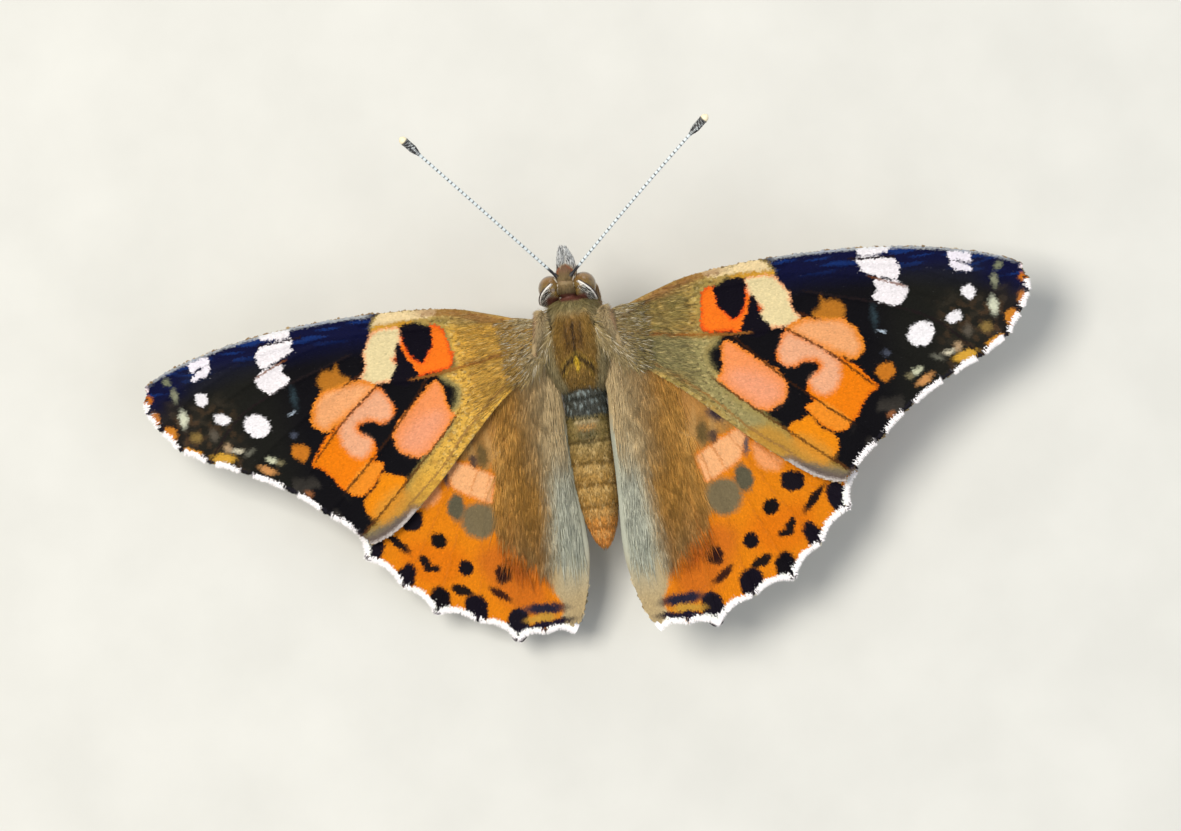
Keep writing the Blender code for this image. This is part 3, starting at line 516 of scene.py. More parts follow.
hindwingMarks = {
    "orangeField": {"fill": "#e6860e", "soft": 0.2, "outline": [
        (4.5, -10.5), (5.3, -9.8), (7.3, -8.8), (8.8, -8.8), (11.2, -10.2), (12.5, -11.5), (16, -13.4),
        (15.8, -15.2), (15.3, -16.1), (13.7, -17.7), (13, -18.3), (11.6, -19.2), (10.7, -20.7),
        (9.2, -20.8), (8, -21.4), (6.4, -21.9), (5.1, -23), (3.7, -22.7), (1.7, -21.9), (1.2, -20.8),
        (1.7, -19.5), (2.2, -18), (3.1, -16.3), (4.2, -15.3), (5.3, -14.8), (5.8, -13.2), (5.1, -11.7)]},
    "deepOrange": {"fill": "#d0701a", "soft": 0.8, "outline": [
        (3.6, -16), (5.7, -15.5), (7.1, -16.4), (6.4, -18.6), (4.8, -20.6), (2.8, -20.7), (2.1, -19.5),
        (2.9, -17.4)]},
    "deepOrangeB": {"fill": "#e27a0a", "soft": 0.8, "outline": [
        (9.1, -15.2), (12.1, -14.8), (12.8, -16.4), (11.4, -18), (9.1, -18.1), (7.8, -16.5)]},
    "pinkPatch": {"fill": "#f6b880", "rim": "#f09446", "rimWidth": 0.35, "outline": [
        (4.7, -10.6), (5.3, -9.9), (7, -9.1), (7.9, -8.7), (8.7, -9.1), (8.4, -10.2), (8, -11.1),
        (7.3, -11.6), (6.2, -12.1), (5.3, -12.4)]},
    "pinkOuter": {"fill": "#f2a468", "soft": 0.3, "outline": [
        (9.1, -9.9), (10, -10.6), (11, -11.5), (10.7, -12.2), (9.6, -11.9), (9, -11)]},
}
forewingSpots = spotTable(
    ("bigWhite", (22.3, -3.6), (2.1, 1.75), 25, "#f8f6fa", 0.08),
    ("whiteC", (26.2, -1.0), (1.0, 1.0), 0, "#f6f4f8", 0.08),
    ("whiteD", (24.9, -2.7), (1.2, 0.85), 20, "#f6f4f8", 0.08),
    ("lunuleA", (30.4, -0.4), (0.8, 0.65), 0, "#c8701e", 0.12),
    ("lunuleB", (30.1, -1.9), (0.8, 1.0), 0, "#c0783a", 0.12),
    ("lunuleC", (29.2, -3.2), (1.0, 1.25), -20, "#d4872c", 0.12),
    ("lunuleD", (27.8, -4.8), (1.5, 0.6), 15, "#e09a30", 0.12),
    ("lunuleE", (25.4, -5.6), (1.9, 0.75), 10, "#d8a63c", 0.14),
    ("lunuleF", (22.2, -7.0), (1.4, 0.5), 28, "#cf9458", 0.14),
    ("lunuleG", (19.4, -9.2), (0.65, 0.4), 40, "#96603c", 0.14),
    ("paleA", (28.6, 0.7), (0.6, 0.5), 0, "#7f8468", 0.18),
    ("paleB", (28.2, -0.4), (0.45, 0.9), 0, "#8f9278", 0.18),
    ("paleC", (27.9, -2.2), (0.65, 1.3), 0, "#d8dcc4", 0.18),
    ("paleD", (27.2, -3.7), (0.8, 0.8), 0, "#8d7440", 0.25),
    ("paleE", (25.8, -3.8), (0.6, 0.8), 0, "#5c554a", 0.25),
    ("paleF", (24.9, -4.9), (0.5, 0.6), 0, "#b89c78", 0.2),
    ("paleG", (24.2, -5.2), (0.9, 0.35), 10, "#d9d2b8", 0.12),
    ("paleH", (23.3, -5.5), (0.8, 0.3), -25, "#6a6a5e", 0.15),
    ("paleI", (21.7, -6.3), (0.8, 0.4), 20, "#cfd2b4", 0.15),
    ("paleJ", (21.1, -6.6), (0.5, 0.4), 0, "#847c5c", 0.2),
    ("dashA", (19.4, -3.1), (0.6, 0.16), -12, "#b8c8d8", 0.08),
    ("dashB", (19.6, -4.7), (0.5, 0.4), 0, "#4a5060", 0.2),
    ("dashC", (19.0, -1.9), (0.4, 1.3), 0, "#2f4048", 0.25)
)
hindwingSpots = spotTable(
    ("veiledA", (8.05, -12.45), (1.35, 2.1), 8, "#5f5a46", 0.2),
    ("veiledB", (6.5, -13.6), (2.6, 2.8), 20, "#7a6d50", 0.3),
    ("darkA", (6.7, -7.4), (1.5, 1.2), -20, "#4a3c40", 0.3),
    ("darkB", (5.45, -8.7), (0.9, 2.0), 0, "#6a5632", 0.3),
    ("darkC", (6.2, -9.1), (0.8, 0.9), 0, "#5a4538", 0.25),
    ("darkD", (8.55, -10.0), (0.4, 1.5), -12, "#6a5a58", 0.15),
    ("eyeA", (11.6, -13.1), (1.85, 1.6), 0, "#140f18", 0.1),
    ("eyeB", (9.8, -14.8), (1.15, 1.2), 0, "#100c0e", 0.1),
    ("eyeC", (8.1, -17.1), (1.2, 1.2), 0, "#120c14", 0.1),
    ("eyeD", (5.3, -17.85), (1.35, 1.45), 30, "#4a2a14", 0.18),
    ("eyeDHeart", (5.45, -17.9), (0.9, 1.0), 0, "#2f1412", 0.2),
    ("crescentA", (13.05, -14.6), (0.62, 2.6), -42, "#1a1010", 0.1),
    ("crescentB", (11.1, -16.3), (0.65, 1.25), -35, "#1a1010", 0.1),
    ("crescentC", (10.7, -16.85), (1.25, 0.62), 10, "#1a1010", 0.1),
    ("crescentD", (8.65, -18.75), (1.75, 0.7), 25, "#1c1210", 0.1),
    ("crescentE", (5.75, -19.35), (1.85, 0.58), 38, "#3a1c10", 0.12),
    ("marginA", (14.75, -14.6), (1.5, 2.4), 10, "#15101c", 0.12),
    ("marginB", (12.65, -17.2), (1.35, 2.0), 25, "#120c18", 0.12),
    ("marginC", (10.5, -19.5), (1.7, 2.6), 10, "#0c0810", 0.12),
    ("marginD", (7.75, -20.25), (1.8, 2.3), 0, "#100a18", 0.12),
    ("marginE", (4.75, -21.7), (1.8, 2.5), 10, "#14101c", 0.12),
    ("analBlue", (2.6, -20.75), (3.4, 0.85), 3, "#242236", 0.2),
    ("analOchre", (2.9, -21.45), (2.4, 0.65), -3, "#c8983a", 0.15),
    ("analBlack", (2.6, -22.0), (4.2, 0.6), -6, "#1c1428", 0.12)
)


def whiteFringe(fields, x, y, depthAt, reach=0.42):
    # white between vein ends, dark at them; depthAt is the band's width where it is widest
    rim = fields["rim"]
    nearest = np.zeros(len(x))
    best = np.full(len(x), 1e9)
    for (px, py), t in zip(rim, fields["between"]):
        distance = (x - px) ** 2 + (y - py) ** 2
        closer = distance < best
        best = np.where(closer, distance, best)
        nearest = np.where(closer, t, nearest)
    swell = np.clip(1 - (np.abs(nearest - 0.5) / reach) ** 4, 0, 1)
    return ease(-0.08, 0.08, depthAt * swell - np.sqrt(best)) * (swell > 0)


def forewingUpper(fields, x, y):
    wobbleX = x + 0.05 * ripple(x, y, 0.9, 1) + draws.normal(0, 0.035, len(x))
    wobbleY = y + 0.05 * ripple(x, y, 0.9, 2) + draws.normal(0, 0.035, len(x))
    toLead = lineDistance(x, y, splineThrough(wings["forewing"]["lead"]))
    # black ground: navy and a painted blue sheen by the leading edge, brown mottling towards the tip
    paintedBlueSheen = blotches(x * 0.25, y * 1.6, 0.9, 5) * ease(2.2, 0.8, toLead)
    outer = ease(22.5, 25, x) * ease(-0.2, -1.8, y)
    mottled = ease(23.2, 24.5, x) * ease(29.2, 28, x) * ease(-1.0, -2.2, y)
    colours = paintOver(plainColours("#08070c", len(x)), (
        # painted sheen: navy along the leading edge, then blotches of brighter painted blue sheen
        (ease(3.4, 1.0, toLead) * ease(10, 13, x), "#070b30"),
        (paintedBlueSheen * ease(11, 13, x) * 0.75, "#0f2f6c"),
        (outer * (0.6 + 0.25 * ripple(x, y, 1.6, 7)), "#26221c"),
        (blotches(x, y, 1.3, 3, 0.35, 0.95) * outer * 0.25, "#54483a"),
        (blotches(x, y, 0.9, 8, 0.0, 0.7) * mottled * 0.75, "#4c3826"),
        (ease(18, 22, x) * ease(2.0, 0.5, y) * ease(28.5, 26, x) * 0.45, "#1f2018"),
        (blotches(x, y, 2.2, 9) * ease(16, 18, x) * ease(-7, -9, y), "#33302c"),
    ))
    for name, mark in forewingMarks.items():
        colours = paintMark(colours, wobbleX, wobbleY, mark)
        if name == "stripEdge":
            colours = forewingBase(colours, x, y)
        # the left forewing's base is given a painted golden sheen
        if name == "greyHair" and fields["side"] == "left":
            colours = forewingGoldSheenAndStreaks(colours, x, y)
    # loose dark and pale scales sprinkled over the inner third
    base = ease(0.0, 0.4, depthInside(x, y, forewingMarks["baseField"]["outline"])) * ease(10.0, 7.5, x)
    colours = paintOver(colours, (
        (base * blotches(x, y * 1.5, 0.42, 31, 0.3, 0.8) * 0.5, "#3f3220"),
        (base * blotches(x, y * 1.5, 0.5, 33, 0.4, 0.9) * 0.35, "#d2bc80"),
    ))
    for mark in forewingSpots.values():
        colours = paintMark(colours, wobbleX, wobbleY, mark)
    # fringe, pale scales at the very tip, grey trailing edge, rusty and pale-dotted leading edge
    apexTip = spotDepth(wobbleX, wobbleY, (30.6, 0.3), (1.0, 0.5), -30)
    toTrail = lineDistance(x, y, splineThrough(wings["forewing"]["trail"][:5]))
    onTrail = ease(9.0, 12.5, x) * ease(-8, -10.5, y)
    rust = ease(0.35, 0.12, np.abs(toLead - 0.3)) * ease(-1.0, 0.5, x) * ease(9.0, 7.5, x)
    tipDots = ease(-0.1, 0.1, 0.13 - np.abs(toLead - 0.12)) * ease(11.5, 12.5, x) * ease(30.5, 29.0, x)
    colours = paintOver(colours, (
        (whiteFringe(fields, wobbleX, wobbleY, 0.62), "#f2eef2"),
        (ease(-0.05, 0.1, apexTip), "#e8d8dc"),
        (ease(0.85, 0.45, toTrail) * onTrail * 0.7, "#5a4e4e"),
        (ease(0.42, 0.15, toTrail) * onTrail * 0.75, "#c4bcb8"),
        (rust * 0.55, "#7c4a28"),
        (tipDots * 0.55, "#c9cfd0"),
    ))
    return forewingVeinLines(colours, x + 0.03 * ripple(x, y, 0.8, 6), y)


def rootFan(x, y):
    # coordinates for fine streaks that fan out from the wing's root
    return np.arctan2(y - 0.8, x + 2.5) * 9, np.hypot(x + 2.5, y - 0.8) * 0.5


def forewingBase(colours, x, y):
    # the hairy inner third: ochre by the costa, olive in the cell, greenish grey below it
    base = depthInside(x, y, forewingMarks["baseField"]["outline"], reach=3.0)
    cover = ease(-0.2, 0.3, base) * ease(10.5, 6.5, x)
    specks = blotches(x * 0.8, y * 1.7, 0.5, 17, 0.45, 0.9) * blotches(x, y, 2.4, 19, -0.2, 0.6)
    return paintOver(colours, (
        (cover * (0.3 + 0.3 * ripple(x, y, 2.6, 11)), "#a87c3a"),
        (cover * blotches(x, y, 1.7, 13, 0.1, 0.9) * 0.45, "#8a8448"),
        (cover * ease(-1.0, -2.5, x * 0.4 + y) * ease(3, 1, x) * 0.6, "#8f7a58"),
        (cover * specks * 0.55, "#4a3c22"),
        (cover * blotches(*rootFan(x, y), 0.8, 15, 0.35, 0.9) * 0.5, "#5a4a26"),
        (cover * blotches(*rootFan(x, y), 0.7, 16, 0.35, 0.9) * 0.5, "#bda25c"),
    ))


def forewingGoldSheenAndStreaks(colours, x, y):
    # the left forewing's base gets a painted golden sheen, with rusty streaks and dark specks
    inner = ease(0.0, 0.5, depthInside(x, y, forewingMarks["baseField"]["outline"]))
    cover = inner * ease(1.9, 0.9, y) * ease(12.5, 9.0, x)
    return paintOver(colours, (
        (cover * 0.85, "#d6a642"),
        (cover * blotches(x, y, 1.9, 22, -0.2, 0.8) * 0.55, "#e2b450"),
        (cover * blotches(*rootFan(x, y), 0.6, 18) * 0.35, "#7a4c22"),
        (cover * blotches(x * 0.8, y * 1.7, 0.45, 20, 0.3, 0.9) * 0.4, "#4a3820"),
    ))


def forewingVeinLines(colours, x, y):
    lines = {
        # vein: colour, half width, where it shows along x
        "media1": ("#1a1214", 0.06, (13.9, 27)),
        "media2": ("#40200e", 0.06, (12.3, 15.0)),
        "media3": ("#301606", 0.07, (12.4, 18.4)),
        "cubitus1": ("#301808", 0.07, (8.3, 16.6)),
        "cubitus2": ("#4e2c10", 0.07, (6.5, 15.8)),
        "cubitus": ("#8f5a24", 0.07, (0.5, 9.8)),
        "radius5": ("#6a3c1c", 0.06, (19.0, 21.6)),
        "anal": ("#8f6a38", 0.06, (2.0, 12.0)),
    }
    for name, (colour, halfWidth, (start, end)) in lines.items():
        distance = lineDistance(x, y, splineThrough(wings["forewing"]["veins"][name]))
        shows = ease(start - 0.3, start + 0.3, x) * ease(end + 0.3, end - 0.3, x)
        colours = wash(colours, ease(halfWidth + 0.06, halfWidth - 0.03, distance) * shows * 0.85, colour)
    streakLine = np.array([(17.6, 2.45), (21.0, 2.25)])
    return wash(colours, ease(0.1, 0.04, lineDistance(x, y, streakLine)), "#1a1018")


def hindwingUpper(fields, x, y):
    wobbleX = x + 0.06 * ripple(x, y, 1.0, 21) + draws.normal(0, 0.035, len(x))
    wobbleY = y + 0.06 * ripple(x, y, 1.0, 22) + draws.normal(0, 0.035, len(x))
    # hairy golden brown, the inner fold buff with a blue-grey middle
    crest = -wingForm["foldSlant"] * y
    blue = ease(crest - 0.2, crest - 1.4, x) * ease(-21, -16, y) * ease(-6, -9, y)
    colours = paintOver(plainColours("#a87b42", len(x)), (
        (blotches(x * 1.4, y * 0.25, 2.6, 23, -0.5, 0.8) * 0.5, "#a0702e"),
        (blotches(x * 1.2, y * 0.3, 1.9, 24, 0.1, 0.9) * 0.4, "#b09462"),
        (ease(crest + 0.9, crest - 0.7, x) * 0.8, "#aa9c78"),
        (blue * 0.7, "#a4b0a6"),
    ))
    for mark in hindwingMarks.values():
        colours = paintMark(colours, wobbleX, wobbleY, mark)
    for name in ("media1", "media2", "media3", "cubitus1", "cubitus2"):
        distance = lineDistance(wobbleX, wobbleY, splineThrough(wings["hindwing"]["veins"][name]))
        colours = wash(colours, ease(0.11, 0.03, distance) * ease(-8.5, -9.5, y) * 0.4, "#b8681c")
    for mark in hindwingSpots.values():
        colours = paintMark(colours, wobbleX, wobbleY, mark)
    return wash(colours, whiteFringe(fields, wobbleX, wobbleY, 0.78, 0.49), "#eef0ea")


# Under side markings, from the species: they show only from below
undersideMarks = {
    "forewing": {
        "discPink": {"fill": "#e8814e", "soft": 0.3, "outline": [
            (-1, 0.5), (8, 1.6), (13, 1.2), (18, -2.6), (19.5, -7.5), (16.5, -11.2), (12.5, -11.2),
            (6, -6.6), (1, -2.2)]},
        "tornusPale": {"fill": "#c9b48c", "soft": 0.4, "outline": [
            (2, -3.2), (8, -8.2), (13, -12.2), (15.8, -13.4), (12, -13.2), (6, -9), (1, -4)]},
        "cellBlack": {"fill": "#1c1614", "outline": [
            (7.5, 1.5), (9.7, 1.7), (9.7, 0.3), (8.6, -0.8), (7.6, 0.4)]},
        "creamPatch": {"fill": "#ecd3b0", "outline": [
            (9.9, 1.9), (12, 1.9), (13, 0.4), (13.5, -1.5), (11.1, -1.8), (10.4, -0.4)]},
        "blackBand": {"fill": "#1d1a1c", "outline": [
            (12.3, 2.4), (17.6, 2.2), (18.8, -0.4), (17.4, -1.6), (15.2, -1.2), (13.6, -1.6),
            (13.2, 0.6)]},
        "blackHook": {"fill": "#1d1a1c", "outline": [
            (9.8, -1.9), (12.4, -2.3), (11.6, -4.4), (13.8, -5.4), (13.2, -7.6), (11.8, -8.6),
            (11.9, -5.6), (9.6, -3.4)]},
        "blackOuter": {"fill": "#241f20", "outline": [
            (18.2, -2.2), (21.2, -4.6), (20.6, -8.2), (17.6, -10.8), (16.2, -9.6), (18.8, -7.2),
            (18.2, -4.8)]},
        "whiteBar": {"fill": "#f3eee6", "outline": [
            (18.3, 2.7), (21, 2.2), (21.6, -0.4), (20.6, -1.4), (19, -0.7), (18.6, 1)]},
        "apexBuff": {"fill": "#a5916c", "soft": 0.3, "outline": [
            (21.5, 2.2), (27.4, 1.6), (31, -0.6), (30, -3.4), (26.8, -5.6), (24.4, -5.8), (23.4, -1.6)]},
        "whiteSpots": {"centre": (22.3, -3.4), "size": (1.9, 1.6), "fill": "#f2ece2"},
        "apexBand": {"fill": "#e6dcc6", "soft": 0.2, "outline": [
            (24.8, 1.9), (26.4, 1.6), (27.2, -1.6), (25.6, -3.6), (24.6, -2.4)]},
    },
    "hindwing": {
        "pinkEdge": {"fill": "#c99a78", "soft": 0.4, "outline": [
            (14.6, -10.6), (16.4, -12.6), (15.4, -15.4), (14.4, -14.2)]},
        "whiteBand": {"fill": "#ece4d2", "soft": 0.3, "outline": [
            (9.6, -6.2), (12.4, -8.2), (10.8, -11.6), (7.2, -14.4), (3.2, -15.4), (3.4, -13.6),
            (6.6, -11.8), (8.8, -9.4)]},
        "whiteCell": {"fill": "#e8e0cc", "soft": 0.25, "outline": [
            (1.8, -3.4), (4.6, -5.2), (5.4, -7.6), (3.6, -7), (2, -5)]},
        "paleMargin": {"fill": "#d8c8a6", "soft": 0.2, "outline": [
            (16.2, -13.6), (15.4, -16), (11, -20.2), (5, -22.4), (1.4, -22), (1.6, -21), (5.2, -21.2),
            (10.4, -19), (14.2, -15.4)]},
    },
}
# eye spots: middle and size, and the rings of each from the outermost in
undersideEyes = [((13.2, -12.2), 1.0), ((11.3, -14.5), 1.5), ((9.6, -16.2), 1.2), ((7.6, -17.8), 1.2),
                 ((4.9, -18.7), 1.7)]
eyeRings = [(1.7, "#e4d4ae"), (1.25, "#3c3024"), (0.95, "#c2a256"), (0.6, "#1c2226"), (0.28, "#7ea6c4")]


def forewingUnder(fields, x, y):
    colours = plainColours("#8a7658", len(x))
    colours = wash(colours, blotches(x, y, 2.2, 31, -0.2, 0.8) * 0.6, "#a8946c")
    x = x + draws.normal(0, 0.04, len(x))
    y = y + draws.normal(0, 0.04, len(x))
    for mark in undersideMarks["forewing"].values():
        colours = paintMark(colours, x, y, mark)
    rounds = [((26.2, -1.0), (1.1, 1.0), 0.08, "#f2ece2"), ((24.9, -2.7), (1.1, 1.0), 0.08, "#f2ece2")]
    ends = wings["forewing"]["veinEnds"][1:7]
    for start, end in zip(ends, ends[1:]):
        eye = ((start[0] + end[0]) / 2 - 1.9, (start[1] + end[1]) / 2 + 0.9)
        rounds += [(eye, (1.1, 1.2), 0.1, "#5d564e"), (eye, (0.5, 0.6), 0.1, "#8fa0b0")]
    for centre, size, soft, hexCode in rounds:
        colours = wash(colours, ease(-soft, soft, spotDepth(x, y, centre, size)), hexCode)
    toMargin = readField(fields, "margin", x, y)
    return paintOver(colours, (
        (ease(0.14, 0.04, readField(fields, "vein", x, y)) * 0.6, "#d9c9a0"),
        (whiteFringe(fields, x, y, 0.6), "#f0ece4"),
        (ease(0.16, 0.06, np.abs(toMargin - 0.85)) * 0.6, "#6f604c"),
    ))


def hindwingUnder(fields, x, y):
    colours = paintOver(plainColours("#9a8660", len(x)), (
        (blotches(x, y, 2.9, 33, 0.0, 0.5) * 0.85, "#6f5f42"),
        (blotches(x, y, 1.9, 37, 0.25, 0.6) * 0.85, "#d9ccae"),
        (blotches(x, y, 1.4, 41, 0.3, 0.7) * 0.6, "#7f8070"),
    ))
    x = x + draws.normal(0, 0.04, len(x))
    y = y + draws.normal(0, 0.04, len(x))
    for mark in undersideMarks["hindwing"].values():
        colours = paintMark(colours, x, y, mark)
    colours = wash(colours, ease(0.2, 0.08, readField(fields, "vein", x, y)) * 0.85, "#efe6d2")
    for centre, size in undersideEyes:
        for share, hexCode in eyeRings:
            ring = spotDepth(x, y, centre, (size * share, size * share))
            colours = wash(colours, ease(-0.07, 0.07, ring), hexCode)
    toMargin = readField(fields, "margin", x, y)
    colours = wash(colours, ease(0.2, 0.08, np.abs(toMargin - 1.25)) * 0.8, "#8894a0")
    return wash(colours, whiteFringe(fields, x, y, 0.6), "#f0ece4")


wingPaint = {
    ("forewing", "upper"): forewingUpper,
    ("forewing", "under"): forewingUnder,
    ("hindwing", "upper"): hindwingUpper,
    ("hindwing", "under"): hindwingUnder,
}


# Wing skins: a lattice trimmed to the outline, eased to its edge and given its thickness

def cutFaces(piece, outside):
    # takes away each face with two or more points outside
    pickOnly(piece)
    # only those faces are picked, so face picking has to be on before edit mode
    bpy.context.tool_settings.mesh_select_mode = (False, False, True)
    for polygon in piece.data.polygons:
        polygon.select = bool(sum(outside[v] for v in polygon.vertices) >= 2)
    bpy.ops.object.mode_set(mode="EDIT")
    bpy.ops.mesh.delete(type="FACE")
    bpy.ops.object.mode_set(mode="OBJECT")


def veinRidge(fields, x, y):
    # share of the membrane's full thickness: all of it on a vein, half between veins
    away = readField(fields, "vein", x, y) / wingForm["veinWidth"]
    return 0.5 + 0.5 * np.exp(-away ** 2)


def wingUnwrap(fields, x, y):
    low = fields["loop"].min(0)
    size = (fields["loop"].max(0) - low).max()
    return np.stack([(x - low[0]) / size, (y - low[1]) / size], axis=-1)


def makeWingSkin(kind, side, fields):
    low = fields["loop"].min(0)
    size = fields["loop"].max(0) - low
    cell = wingForm["cell"]
    bpy.ops.mesh.primitive_grid_add(x_subdivisions=int(size[0] / cell), y_subdivisions=int(size[1] / cell),
                                    size=1.0)
    skin = startPiece("skin_" + kind + "_" + side)
    points = readPoints(skin)
    points[:, 0] = low[0] + (points[:, 0] + 0.5) * size[0]
    points[:, 1] = low[1] + (points[:, 1] + 0.5) * size[1]
    writePoints(skin, points)
    toEdge = wingEdgeInset(fields, points[:, 0], points[:, 1])
    outside = readField(fields, "depth", points[:, 0], points[:, 1]) < toEdge
    cutFaces(skin, outside)
    easeToEdge(skin, fields)
    points = readPoints(skin)
    points[:, 2] = wingHeight(kind, fields, points[:, 0], points[:, 1])
    points[:, 0] *= sideSign(side)
    writePoints(skin, points)
    # veins stand proud of the membrane on both faces
    group = skin.vertex_groups.new(name="thickness")
    for index, weight in enumerate(veinRidge(fields, points[:, 0] * sideSign(side), points[:, 1])):
        group.add([index], float(weight), "REPLACE")
    shell = skin.modifiers.new("membrane", "SOLIDIFY")
    shell.thickness = wingForm["membrane"] * 2
    shell.offset = 0.0
    shell.use_even_offset = False
    shell.vertex_group = "thickness"
    applyModifiers(skin)
    mergeAndTurnOut(skin, 0.001)
    skin.data.update()
    points = readPoints(skin)
    faceUp = np.zeros(len(points) * 3)
    skin.data.vertices.foreach_get("normal", faceUp)
    faceUp = faceUp.reshape(-1, 3)[:, 2]
    x, y = points[:, 0] * sideSign(side), points[:, 1]
    upper = wingPaint[(kind, "upper")](fields, x, y)
    under = wingPaint[(kind, "under")](fields, x, y)
    paintPoints(skin, np.where(faceUp[:, None] > 0, upper, under))
    smoothAndPlace(skin, wingPlace(kind, side))
    return skin


def wingEdgeInset(fields, x, y):
    # the skin stops short of the outline where the fringe grows
    fringed = ease(1.4, 0.4, readField(fields, "margin", x, y) - np.abs(readField(fields, "depth", x, y)))
    return 0.05 + wingForm["fringe"] * fringed


def easeToEdge(skin, fields):
    # border points slide along the slope of the depth until they sit on the inset edge
    faces = np.array([list(p.vertices) for p in skin.data.polygons])
    edges = {}
    for face in faces:
        for a, b in zip(face, np.roll(face, -1)):
            key = (min(a, b), max(a, b))
            edges[key] = edges.get(key, 0) + 1
    border = sorted({v for key, count in edges.items() if count == 1 for v in key})
    points = readPoints(skin)
    x, y = points[border, 0], points[border, 1]
    for _ in range(6):
        e = 0.06
        depth = readField(fields, "depth", x, y)
        slopeX = (readField(fields, "depth", x + e, y) - readField(fields, "depth", x - e, y)) / (2 * e)
        slopeY = (readField(fields, "depth", x, y + e) - readField(fields, "depth", x, y - e)) / (2 * e)
        short = wingEdgeInset(fields, x, y) - depth
        steep = np.maximum(slopeX ** 2 + slopeY ** 2, 0.2)
        x = x + 0.8 * short * slopeX / steep
        y = y + 0.8 * short * slopeY / steep
    points[border, 0] = x
    points[border, 1] = y
    writePoints(skin, points)


# Wing scales: small overlapping kites, each a closed sliver with its root in the skin
scaleCoat = {
    "upper": {"spacing": 0.112, "length": 0.35, "width": 0.2, "lift": 0.065},
    "under": {"spacing": 0.162, "length": 0.44, "width": 0.28, "lift": 0.07},
    "fringe": {"spacing": 0.042, "rows": 3, "length": 0.88, "width": 0.12, "rowStep": 0.03,
               "darkShare": {"forewing": 0.14, "hindwing": 0.03},
               "shown": {"upper": 0.6, "under": 0.5}},
}
kiteFaces = [(0, 2, 3), (0, 3, 1), (0, 1, 2), (1, 3, 2)]
kiteAlong = np.array([0.0, 0.62, 0.62, 1.0])
kiteAcross = np.array([0.0, 0.5, -0.5, 0.0])
kiteLift = np.array([0.0, 0.35, 0.35, 1.0])
# rows lie closer than the scales in a row, so that the scales sit in a honeycomb
rowShare = 0.866
patchSize = 0.003


def layScales(name, kind, side, face, fields, x, y, turn, length, width, lift, colours):
    # turn: the way each scale points in the wing's plane
    up = 1 if face == "upper" else -1
    alongX, alongY = np.cos(turn), np.sin(turn)
    ahead, aside = kiteAlong * length[:, None], kiteAcross * width[:, None]
    px = x[:, None] + alongX[:, None] * ahead - alongY[:, None] * aside
    py = y[:, None] + alongY[:, None] * ahead + alongX[:, None] * aside
    shape = px.shape
    height = wingHeight(kind, fields, px.ravel(), py.ravel()).reshape(shape)
    onVein = wingForm["membrane"] * veinRidge(fields, px.ravel(), py.ravel()).reshape(shape)
    height = height + up * (onVein + kiteLift * lift[:, None])
    points = np.stack([px * sideSign(side), py, height], axis=-1)
    points = inModel(points, wingPlace(kind, side))
    flipped = (up < 0) != (side == "left")
    faces = [tuple(reversed(f)) for f in kiteFaces] if flipped else kiteFaces
    patches = (wingUnwrap(fields, x, y)[:, None, :]
               + np.stack([kiteAlong, kiteAcross], axis=-1)[None] * patchSize)
    return joinedTufts(name, points, faces, colours, patches, faceted=True)


def makeScales(kind, side, face, fields):
    coat = scaleCoat[face]
    low, high = fields["loop"].min(0), fields["loop"].max(0)
    columns = int((high[0] - low[0]) / coat["spacing"])
    rows = int((high[1] - low[1]) / (coat["spacing"] * rowShare))
    x, y = np.meshgrid(np.arange(columns), np.arange(rows))
    x = low[0] + (x + 0.5 * (y % 2)).ravel() * coat["spacing"]
    y = low[1] + y.ravel() * coat["spacing"] * rowShare
    x = x + draws.normal(0, coat["spacing"] * 0.2, len(x))
    y = y + draws.normal(0, coat["spacing"] * 0.2, len(y))
    depth = readField(fields, "depth", x, y)
    inset = np.maximum(wingEdgeInset(fields, x, y) - 0.05, 0.12)
    kept = (depth > inset) & (x > -0.9)
    x, y = x[kept], y[kept]
    turn = scaleTurn(kind, x, y) + draws.normal(0, 0.13, len(x))
    length = coat["length"] * draws.uniform(0.85, 1.15, len(x))
    width = coat["width"] * draws.uniform(0.85, 1.15, len(x))
    lift = coat["lift"] * draws.uniform(0.6, 1.25, len(x))
    colours = wingPaint[(kind, face)](fields, x, y)
    shade = draws.normal(1.0, 0.06, len(x))[:, None]
    name = "scales_" + face + "_" + kind + "_" + side
    return layScales(name, kind, side, face, fields, x, y, turn, length, width, lift,
                     np.clip(colours * shade, 0, 1))


def scaleTurn(kind, x, y):
    # scales point away from the wing's root, a little more outward near the tip
    if kind == "forewing":
        return np.arctan2(y - 1.2 + 0.12 * x, x + 4.0)
    return np.arctan2(y - 1.5, x + 1.5)


